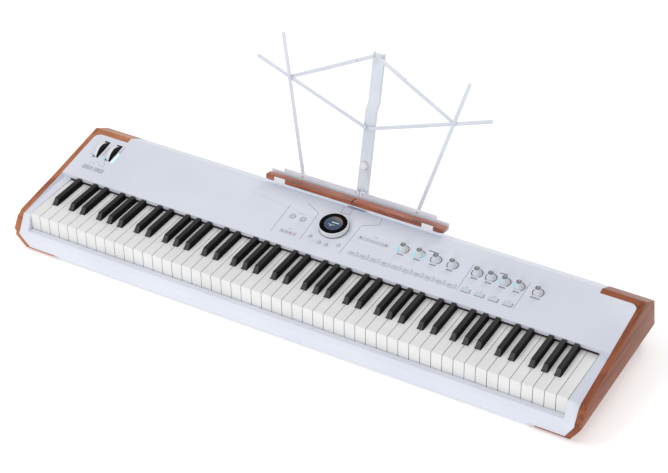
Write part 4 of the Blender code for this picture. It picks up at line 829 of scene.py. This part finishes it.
# The pitch and modulation wheels: each a white ribbed tyre on a hub with a dished right side,
# turning on a steel axle in the case's ears and standing out of a lined slot. The hub and the slot's
# lining are near-black as painted shade on the wheel's side and in the slot. Beside them lamp bars, and
# printed dots in front.
WHEEL_NAMES = ("pitch_wheel", "mod_wheel")
WHEEL_X = (-594 * MM, -562 * MM)
WHEEL_Y = 236 * MM
WHEEL_RADIUS = 28 * MM
WHEEL_WIDTH = 12 * MM
WHEEL_SHOW = 11 * MM
AXLE_RADIUS = 3 * MM
AXLE_REACH = 9.7 * MM
TYRE_RIBS = (4, 5)
TYRE_EDGE = 1.3 * MM
TYRE_RIB_DEPTH = 0.22 * MM
SLOT_LONG = 52.5 * MM
SLOT_WIDE = 14 * MM
SLOT_PLAY = 0.03 * MM
SLOT_SIDE = Vector((0.44 * MM, 48 * MM, 9.7 * MM))


def axle_steel(spot):
    brushed = spot.stretched(1, 8, 8).noise(300, 2)
    return {"Base Color": brushed.dye((0.55, 0.56, 0.58), (0.42, 0.43, 0.45)), "Metallic": 0.9,
            "Roughness": 0.3 + brushed * 0.15}


tyre_white = even("wheel_tyre", 500, (0.78, 0.79, 0.82), (0.70, 0.71, 0.75), rough=0.42, vary=0.1,
                  bump=0.02 * MM)
# Near-black hub: painted shade for the wheel's side down in its slot.
hub_and_slot_painted_shade = even("wheel_hub_and_slot_painted_shade", 700, (0.003, 0.003, 0.004), (0.007, 0.007, 0.008), rough=0.5,
                 shine=0.12)
bright_axle = material("wheel_axle", axle_steel)
for name, x in zip(WHEEL_NAMES, WHEEL_X):
    axle_at = on_panel(x, WHEEL_Y, WHEEL_SHOW - WHEEL_RADIUS)
    place = Matrix.Translation(axle_at) @ Matrix.Rotation(pi / 2, 4, "Y")
    half = WHEEL_WIDTH / 2
    wheel_bm = bmesh.new()
    tyre = near(WHEEL_RADIUS, -half, (-3.2, 0.5), (-2.6, 0.2), (-1.0, 0.2), (-0.3, 1.0), (-0.02, 1.8))
    tyre += near(WHEEL_RADIUS, TYRE_EDGE, (-0.02, -0.6), (-0.3, 0), (-3.2, 0))
    spun(wheel_bm, place, tyre, sides=180, closed=True, ribs=TYRE_RIBS, depth=TYRE_RIB_DEPTH)
    hub = near(0, -half, (6, 0.1), (7, 0.4), (7.6, 1.6), (22, 1.6))
    hub += near(WHEEL_RADIUS, -half, (-3.25, 0.6))
    hub += near(WHEEL_RADIUS, TYRE_EDGE, (-3.25, 0), (-0.5, 0.05), (-0.9, 0.5), (-2.8, 2.2))
    hub += near(WHEEL_RADIUS, half, (-5.5, -0.2), (-6.3, -0.2))
    hub += near(0, half, (20, -1.6), (7.6, -1.6), (7, -0.4), (6, -0.1))
    spun(wheel_bm, place, hub, index=1)
    axle = near(AXLE_RADIUS, -AXLE_REACH, (-0.4, 0.1), (-0.1, 0.4))
    axle += near(AXLE_RADIUS, AXLE_REACH, (-0.1, -0.4), (-0.4, -0.1))
    spun(wheel_bm, place, axle, sides=24, index=2)
    made = piece(name + "_moulding", wheel_bm, name, [tyre_white, hub_and_slot_painted_shade, bright_axle])
    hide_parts(name)


def lining(bm, place, half_wide, half_tall, wall, deep, proud, index=0):
    """The rim and walls that line a rectangular hole."""
    rings = []
    for grow, height in ((-wall, -deep), (-wall, proud), (0, proud), (0, -deep)):
        w = half_wide + grow
        t = half_tall + grow
        rings.append([bm.verts.new(place @ Vector((a * w, b * t, height)))
                      for a, b in ((-1, -1), (1, -1), (1, 1), (-1, 1))])
    skin(bm, rings, index, closed=True)


# The slot linings take the same near-black, as painted shade inside the slot.
lining_bm = bmesh.new()
for x in WHEEL_X:
    slot_frame = panel_frame(x, WHEEL_Y)
    lining(lining_bm, slot_frame, SLOT_WIDE / 2 - SLOT_PLAY, SLOT_LONG / 2 - SLOT_PLAY,
           0.5 * MM, 2.2 * MM, -0.05 * MM)
    for side in (-1, 1):
        middle = Vector((side * (SLOT_WIDE / 2 - 0.28 * MM), 0, -7.15 * MM))
        block(lining_bm, slot_frame, middle - SLOT_SIDE / 2, middle + SLOT_SIDE / 2)
piece("wheel_slot_linings", lining_bm, "case", [hub_and_slot_painted_shade])


def raised_bar(bm, x, y, wide, long, index):
    """A long lamp or trim piece lying on the panel, its edges eased."""
    low = Vector((-wide / 2, -long / 2, 0))
    high = Vector((wide / 2, long / 2, BAR_HEIGHT))
    before = set(bm.faces)
    verts = block(bm, panel_frame(x, y), low, high)
    edges = list({edge for v in verts for edge in v.link_edges})
    bmesh.ops.bevel(bm, geom=edges, offset=min(wide, BAR_HEIGHT) * 0.3, segments=1, affect="EDGES")
    for face in set(bm.faces) - before:
        face.material_index = index


LAMP_BARS = in_mm((-580, 235, 2.0, 28), (-549.4, 250, 2.0, 22), (-549.4, 223, 3.2, 31),
                  (-570.3, 219, 1.6, 15))
BAR_HEIGHT = 0.3 * MM
lamp_grey = even("lamp_bar_grey", 900, (0.42, 0.44, 0.49), (0.34, 0.36, 0.41), rough=0.35)
lamp_bright = material("lamp_bar_lit", lit_look((0.50, 0.84, 1.0), 0.8))
bars_bm = bmesh.new()
for bar, index in zip(LAMP_BARS, (0, 0, 1, 2)):
    raised_bar(bars_bm, *bar, index)
piece("wheel_lamp_bars", bars_bm, "case", [lamp_grey, lamp_bright, cyan_light])

DOT_HALF = 1.1 * MM
DOTS = in_mm((-593.8, 192.6), (-585.2, 193.3), (-578, 199.2), (-569.3, 193.2), (-561, 198.6),
             (-560.8, 192.9), (-606.6, 215.4), (-597.4, 206.6), (-565.5, 207.3))
dots_bm = bmesh.new()
for x, y in DOTS:
    printed_line(dots_bm, [(x - DOT_HALF, y), (x + DOT_HALF, y)], 1.9 * MM)
piece("wheel_dots", dots_bm, "case", [material("dot_ink", print_look)])


# The buttons: soft grey silicone caps moulded on mats under the panel, so each group moves as one,
# with plain signs printed on them; the effect caps have a lit window each.
BUTTON_LIFT = 1.0 * MM
SIGN_LIFT = BUTTON_LIFT + 0.02 * MM
TRANSPORT_X = [(-105.5 + 9.667 * i) * MM for i in range(4)]
ROUND_BUTTONS = in_mm((-105, 223), (-81, 223))
SCREEN_BUTTONS = in_mm((-43.5, 188), (-18.5, 179), (-1.7, 179), (22.2, 188))
SOUND_X = [(60.5 + 24.444 * i) * MM for i in range(10)]
CATEGORY_X = [(53.5 + 11.6 * i) * MM for i in range(6)]
CATEGORY_Y = 224 * MM
LIT_SOUND = 3
ARROW_HALF = 1.8 * MM
WINDOW_EDGES = (9.5 * MM, 10.3 * MM, 5.3 * MM, 5 * MM)
OCTAVE_X = (-591 * MM, -562.5 * MM)
OCTAVE_Y = 178 * MM


def disc_mark(bm, x, y, radius, lift, height=PRINT_THICK, index=0):
    """A printed dot or a small round lamp on the panel or on a cap."""
    place = panel_frame(x, y, lift + height / 2)
    made = bmesh.ops.create_cone(bm, cap_ends=True, segments=20, radius1=radius, radius2=radius,
                                 depth=height, matrix=place)
    for face in {face for v in made["verts"] for face in v.link_faces}:
        face.material_index = index


def ring_mark(bm, x, y, radius, width, start=0, end=360):
    """A sign in the form of a circle, or part of one."""
    turns = [radians(start + (end - start) * i / 24) for i in range(25)]
    points = [(x + radius * cos(a), y + radius * sin(a)) for a in turns]
    printed_line(bm, points, width, SIGN_LIFT)


soft_grey = even("button_silicone", 260, (0.60, 0.625, 0.68), (0.53, 0.555, 0.61), rough=0.6, vary=0.1,
                 bump=0.02 * MM)
darker_grey = even("button_dark_silicone", 260, (0.50, 0.52, 0.57), (0.43, 0.45, 0.50), rough=0.62,
                   vary=0.1)
sign_ink = material("button_ink", print_look)
sign_red = even("button_red", 800, (0.75, 0.10, 0.10), (0.6, 0.07, 0.07), rough=0.5)
for name in ("left_keypad", "right_keypad", "effect_keypad"):
    softened(name, name + "_moulding", 0.35 * MM, soft_grey, name, flatten=0)

TRANSPORT_SIGNS = ((0, (2.6,), 2.0), (1, (1.0, 1.0), 2.6), (3, (1.8, 1.2), 1.4))
left_bm = bmesh.new()
for i, lengths, width in TRANSPORT_SIGNS:
    dashes(left_bm, TRANSPORT_X[i], BUTTON_Y, lengths, width * MM, SIGN_LIFT)
disc_mark(left_bm, TRANSPORT_X[2], BUTTON_Y, 1.9 * MM, SIGN_LIFT, index=1)
for x, y in ROUND_BUTTONS:
    ring_mark(left_bm, x, y, 5.6 * MM, 0.5 * MM)
    dashes(left_bm, x, y, (2.0, 1.2), 0.9 * MM, SIGN_LIFT)
for x, y in SCREEN_BUTTONS:
    ring_mark(left_bm, x, y, 3.5 * MM, 0.45 * MM, -70, 80)
    dashes(left_bm, x, y, (1.8,), 0.8 * MM, SIGN_LIFT)
piece("left_keypad_signs", left_bm, "left_keypad", [sign_ink, sign_red])

right_bm = bmesh.new()
for x in SOUND_X:
    dashes(right_bm, x - 2 * MM, BUTTON_Y, (3.0, 1.6, 2.4), 1.1 * MM, SIGN_LIFT)
for x, point in ((CATEGORY_X[0], -1.5 * MM), (CATEGORY_X[5], 1.5 * MM)):
    printed_line(right_bm, [(x - point, CATEGORY_Y + ARROW_HALF), (x + point, CATEGORY_Y),
                            (x - point, CATEGORY_Y - ARROW_HALF)], 1.8 * MM, SIGN_LIFT)
for x in CATEGORY_X[1:5]:
    dashes(right_bm, x, CATEGORY_Y, (1.8, 1.0), 0.7 * MM, SIGN_LIFT)
piece("right_keypad_signs", right_bm, "right_keypad", [sign_ink])

effect_window = material("effect_window", lit_look((0.50, 0.64, 0.64), 0.12))
effect_bm = bmesh.new()
for x in EFFECT_BUTTON_X:
    dashes(effect_bm, x, BUTTON_Y, (12,), 3.6 * MM, SIGN_LIFT)
piece("effect_windows", effect_bm, "effect_keypad", [effect_window])

frame_bm = bmesh.new()
for x in EFFECT_BUTTON_X:
    left, right, below, above = WINDOW_EDGES
    corner = (x + right, BUTTON_Y - below)
    printed_line(frame_bm, [(x - left, BUTTON_Y - below), corner], 0.8 * MM)
    printed_line(frame_bm, [corner, (x + right, BUTTON_Y + above)], 0.8 * MM)
for i, x in enumerate(SOUND_X):
    lamp_look = 2 if i == LIT_SOUND else 1
    disc_mark(frame_bm, x + 8 * MM, BUTTON_Y + 7 * MM, 0.9 * MM, 0, 0.25 * MM, lamp_look)
piece("button_lamps", frame_bm, "case", [sign_ink, dark_light, cyan_light])


# The two octave buttons: round-cornered caps, each in a thin frame coated like the case.
OCTAVE_HALF = (12.5 * MM, 5.5 * MM)
OCTAVE_CORNER = 2.6 * MM
CORNER_STEPS = 5


def octave_outline(grow):
    """The rounded outline of an octave button, wider by grow all round."""
    radius = OCTAVE_CORNER + grow
    outline = []
    for corner, (a, b) in enumerate(((1, 1), (-1, 1), (-1, -1), (1, -1))):
        for i in range(CORNER_STEPS + 1):
            angle = radians(90 * corner + 90 * i / CORNER_STEPS)
            outline.append((a * (OCTAVE_HALF[0] + grow - radius) + radius * cos(angle),
                            b * (OCTAVE_HALF[1] + grow - radius) + radius * sin(angle)))
    return outline


def outline_rings(bm, place, steps, closed=False):
    """Joins rings of the outline, each step a growth and a height; closed makes a frame."""
    skin(bm, [[bm.verts.new(place @ Vector((u, v, height))) for u, v in octave_outline(grow)]
              for grow, height in steps], closed=closed)


octave_frames = bmesh.new()
for name, x in zip(("octave_down_button", "octave_up_button"), OCTAVE_X):
    place = panel_frame(x, OCTAVE_Y)
    cap_bm = bmesh.new()
    outline_rings(cap_bm, place, in_mm((-0.3, -3), (-0.3, 0.65), (-0.45, 0.9), (-0.8, 1)))
    made = piece(name + "_cap", cap_bm, name, [darker_grey])
    sign_bm = bmesh.new()
    dashes(sign_bm, x, OCTAVE_Y, (3.2, 1.4), 1.0 * MM, SIGN_LIFT)
    piece(name + "_sign", sign_bm, name, [sign_ink])
    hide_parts(name)
    outline_rings(octave_frames, place, in_mm((0, 0), (0, 0.22), (0.2, 0.3), (1.5, 0.3), (1.7, 0)), True)
piece("octave_frames", octave_frames, "case", [case_coat])


# The music desk's foot and mast: folded steel sheet in a light grey powder coat. The foot is screwed
# to the case's back bevel; the mast leans back on the foot's pin.
DESK_LEAN = radians(12.2)
DESK_BASE = Vector((0, 318 * MM, 50 * MM))
DESK_TURN = Matrix.Rotation(-DESK_LEAN, 4, "X")
DESK_TINT = (0.70, 0.73, 0.80)
DESK_TINT_WORN = (0.64, 0.67, 0.745)


def desk_frame(x, d, h):
    """A frame on the desk at x sideways, d behind the arms and h up: its z points to the player."""
    at = Matrix.Translation(KEYBED + DESK_BASE) @ DESK_TURN @ Matrix.Translation((x, d, h))
    return at @ Matrix.Rotation(pi / 2, 4, "X")


def rivet(bm, place, radius=3.3 * MM, proud=0.25 * MM):
    """A rivet's head: a low rim with a dimple, its foot at the frame's origin."""
    spun(bm, place, [
        (radius, -0.1 * MM), (radius, proud * 0.5), (radius - 0.5 * MM, proud), (radius * 0.45, proud),
        (radius * 0.35, proud * 0.3),
    ], sides=24)


desk_paint = coat("desk_coat", 600, 22, DESK_TINT, DESK_TINT_WORN, low=0.3, rough=0.38, vary=0.12,
                  bump=0.015 * MM)
rivet_zinc = even("rivet_zinc", 260, (0.66, 0.68, 0.73), (0.55, 0.57, 0.62), rough=0.34, vary=0.2,
                  detail=3, metal=0.4)
softened("desk_foot", "desk_bracket", 0.4 * MM, desk_paint, "case", flatten=0)
softened("mast", "desk_mast", 0.45 * MM, desk_paint, "mast", flatten=0)
BRACKET_SCREWS = in_mm((-15, 16), (15, 16))
CREST_Y = 289 * MM
REAR_TOP_Y = 330 * MM
REAR_EDGE_Z = 16 * MM
CREST = Vector((0, CREST_Y, PANEL_Z + PANEL_SLOPE * (CREST_Y - PANEL_Z_AT)))
bevel_down = (Vector((0, REAR_TOP_Y, REAR_EDGE_Z)) - CREST).normalized()
bevel_out = Vector((0, -bevel_down.z, bevel_down.y))


def bevel_frame(x, down, lift):
    """A frame on the case's back bevel: z points out of it."""
    at = KEYBED + CREST + Vector((x, 0, 0)) + bevel_down * down + bevel_out * lift
    return axes_at(at, (1, 0, 0), bevel_down, bevel_out)


bracket_screw_bm = bmesh.new()
for x, down in BRACKET_SCREWS:
    rivet(bracket_screw_bm, bevel_frame(x, down, 2.3 * MM), 3.4 * MM, 0.9 * MM)
piece("bracket_screws", bracket_screw_bm, "case", [rivet_zinc])

# The thumb screw: a turned plastic head with a coarse grip, on a steel shank through the mast.
SCREW_FRAME = desk_frame(0, 5.6 * MM, 71.6 * MM)
SCREW_RADIUS = 8.5 * MM
SCREW_DEPTH = 9 * MM
GRIP_DEPTH = 0.55 * MM
screw_white = even("screw_plastic", 300, (0.80, 0.81, 0.84), (0.73, 0.74, 0.78), rough=0.45, vary=0.1)
screw_bm = bmesh.new()
head = in_mm((3.0, 0.1)) + near(SCREW_RADIUS, 0, (-1.2, 0.1), (-0.3, 1.0), (-0.05, 1.6))
head += near(SCREW_RADIUS, SCREW_DEPTH, (-0.05, -2.2), (-0.4, -1.2), (-1.5, -0.3), (-2.8, 0), (-3.4, -0.5))
spun(screw_bm, SCREW_FRAME, head, sides=48, ribs=(3, 4), depth=GRIP_DEPTH)
spun(screw_bm, SCREW_FRAME, in_mm((2.9, 0.2), (2.9, -3.7), (2.5, -4.0)), sides=24, index=1)
screw = piece("thumb_screw_turned", screw_bm, "thumb_screw", [screw_white, rivet_zinc])
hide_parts("thumb_screw")

# The tray in two halves: each an angle plate with a strip of glossy red-brown wood along its front
# and a white page clip over the wood.
LEDGE_PALE = (0.44, 0.118, 0.045)
LEDGE_MID = (0.27, 0.064, 0.026)
LEDGE_DARK = (0.10, 0.021, 0.010)
CLIP_PALE = (0.80, 0.805, 0.82)


def gloss_wood(spot):
    """Grain along the ledge, under a clear gloss lacquer."""
    grain = spot.stretched(GRAIN_ALONG, GRAIN_ACROSS, GRAIN_ACROSS)
    wave = grain.noise(7, 4, 0.6, 1.1)
    fibre = grain.noise(80, 3, 0.7)
    stain = wave.node("ShaderNodeValToRGB", {"Fac": wave}, stops=[
        (0.30, LEDGE_DARK), (0.44, LEDGE_MID), (0.60, LEDGE_PALE), (0.74, LEDGE_MID)])
    pores = fibre.between(0.58, 0.74) * 0.6
    return {"Base Color": pores.dye(stain, WOOD_PORE), "Roughness": 0.24 + fibre * 0.12,
            "Coat Weight": 0.2 + fibre * 0.1, "Bump": (fibre, 0.03 * MM)}


TRAY_HINGE, STRUT_FOOT = in_mm((8, 13), (134.5, 10.2))
PLATE_FRONT = -6.5 * MM
ledge_lacquer = material("ledge_wood", gloss_wood)
clip_white = even("clip_white", 300, CLIP_PALE, tuple(c * 0.94 for c in CLIP_PALE), rough=0.32, vary=0.1)
# The tray's coat is a paler, bluer copy of the desk coat, painted lighter to make up for the warm light
# the wood throws on the plates.
tray_paint_painted_lighter = coat("tray_coat_painted_lighter", 600, 22, (0.78, 0.82, 0.90), (0.72, 0.76, 0.85), low=0.3, rough=0.38,
                  vary=0.12, bump=0.015 * MM)
for side, word in ((-1, "left"), (1, "right")):
    body = "tray_" + word
    softened("tray_plate_" + word, "tray_angle_" + word, 0.4 * MM, tray_paint_painted_lighter, body,
             flatten=0)
    softened("tray_ledge_" + word, "tray_wood_" + word, 1.1 * MM, ledge_lacquer, body,
             segments=3)
    clip = "page_clip_" + word
    softened(clip, "page_clip_sheet_" + word, 0.3 * MM, clip_white, clip)
    tray_rivets = bmesh.new()
    for (x, h), radius, proud in ((TRAY_HINGE, 2.6 * MM, 0.5 * MM), (STRUT_FOOT, 3.2 * MM, 0.6 * MM)):
        rivet(tray_rivets, desk_frame(side * x, PLATE_FRONT, h), radius, proud)
    piece("tray_rivets_" + word, tray_rivets, body, [rivet_zinc])

# The folding frame: flat steel bars with round ends on each side, coated like the mast and riveted.
CROSSING, LINK_JOINT, ARM_PIVOT, LINK_TOP = in_mm((187.5, 216.58), (70, 275.4), (6, 155.5), (9, 305.4))
BAR_THICK = 2 * MM
BAR_HEADS = ((CROSSING, -3.9 * MM, "strut_"), (ARM_PIVOT, -1.5 * MM, "arm_"),
             (LINK_JOINT, 0.9 * MM, "outer_link_"), (LINK_TOP, 3.3 * MM, "inner_link_"))
for side, word in ((-1, "left"), (1, "right")):
    for _, _, bar in BAR_HEADS:
        softened(bar + word, bar + "bar_" + word, 0.35 * MM, desk_paint, bar + word,
                 flatten=0)
    for (x, h), front, bar in BAR_HEADS:
        rivet_bm = bmesh.new()
        rivet(rivet_bm, desk_frame(side * x, front, h))
        if bar == "inner_link_":
            behind = desk_frame(side * LINK_JOINT[0], front + BAR_THICK, LINK_JOINT[1])
            rivet(rivet_bm, behind @ Matrix.Rotation(pi, 4, "X"))
        piece(bar + "rivet_" + word, rivet_bm, bar + word, [rivet_zinc])


# The bottom of the case: a folded steel tray, grey enamelled, and the rear panel with its sockets.
BODY_TINT = (0.50, 0.515, 0.56)
BODY_TINT_WORN = (0.45, 0.465, 0.51)
REAR_FALL = 0.1508
JACK_Z = -18 * MM
JACK_RADIUS = 4.6 * MM
JACK_X = [x * MM for x in (-470, -440, -360, -330, -300, -220, -190, -110)]
SQUARE_SOCKETS = in_mm((-40, 13, 12), (0, 15, 7), (470, 28, 21))
body_enamel = coat("body_enamel", 300, 9, BODY_TINT, BODY_TINT_WORN, low=0.35, rough=0.42, vary=0.14,
                   bump=0.02 * MM)
nickel = even("nickel", 500, (0.60, 0.60, 0.60), (0.48, 0.48, 0.49), rough=0.28, vary=0.15, metal=0.9)
softened("bottom_case", "case_bottom_tray", 0.6 * MM, body_enamel, "case")
softened("rear_panel", "case_rear_sheet", 0.5 * MM, case_coat, "case")


def rear_frame(x):
    """A frame on the rear panel at the height of the jacks: z points out to the back."""
    up = Vector((0, -REAR_FALL, 1)).normalized()
    out = Vector((0, 1, REAR_FALL)).normalized()
    at = Vector((x, REAR_TOP_Y + REAR_FALL * (REAR_EDGE_Z - JACK_Z), JACK_Z))
    return axes_at(KEYBED + at, (-1, 0, 0), up, out)


socket_bm = bmesh.new()
for x in JACK_X:
    nut = in_mm((3.4, -2.0), (3.4, 0.02), (4.0, 0.14), (5.6, 0.14), (6.0, 0.02), (6.0, -0.05))
    nut += near(JACK_RADIUS, 0, (0, -0.05), (0, -2.0))
    spun(socket_bm, rear_frame(x), nut, sides=36, closed=True)
for x, wide, tall in SQUARE_SOCKETS:
    lining(socket_bm, rear_frame(x), wide / 2, tall / 2, 0.6 * MM, 1.9 * MM, 0.1 * MM, index=1)
piece("rear_sockets", socket_bm, "case", [nickel, black_gasket_and_shadow])

# The rubber feet: two long black strips under the tray.
foot_rubber = even("foot_rubber", 120, (0.016, 0.016, 0.018), (0.032, 0.032, 0.036), rough=0.72,
                   vary=0.15, bump=0.05 * MM, detail=4)
for end in ("front", "rear"):
    softened("foot_" + end, "foot_strip_" + end, 0.8 * MM, foot_rubber, "case", segments=3)


# Inside: the galvanised key frame with its pivot rail, and the main board in its green lacquer.
def galvanised(spot):
    spangle = spot.node("ShaderNodeTexVoronoi", {"Vector": spot, "Scale": 180.0}, output=0)
    return {"Base Color": spangle.dye((0.50, 0.52, 0.55), (0.38, 0.40, 0.43)), "Metallic": 0.8,
            "Roughness": 0.38 + spangle * 0.2}


def board_lacquer(spot):
    weave = spot.noise(900, 2)
    copper = spot.noise(60, 2).between(0.52, 0.56)
    return {"Base Color": copper.dye((0.012, 0.085, 0.035), (0.02, 0.13, 0.05)),
            "Roughness": 0.3 + weave * 0.15, "Coat Weight": 0.2 + weave * 0.1}


frame_steel = material("frame_steel", galvanised)
softened("key_frame", "key_frame_pressing", 0.4 * MM, frame_steel, "case")
green_board = material("board_lacquer", board_lacquer)
softened("main_board", "main_circuit_board", 0.3 * MM, green_board, "case")
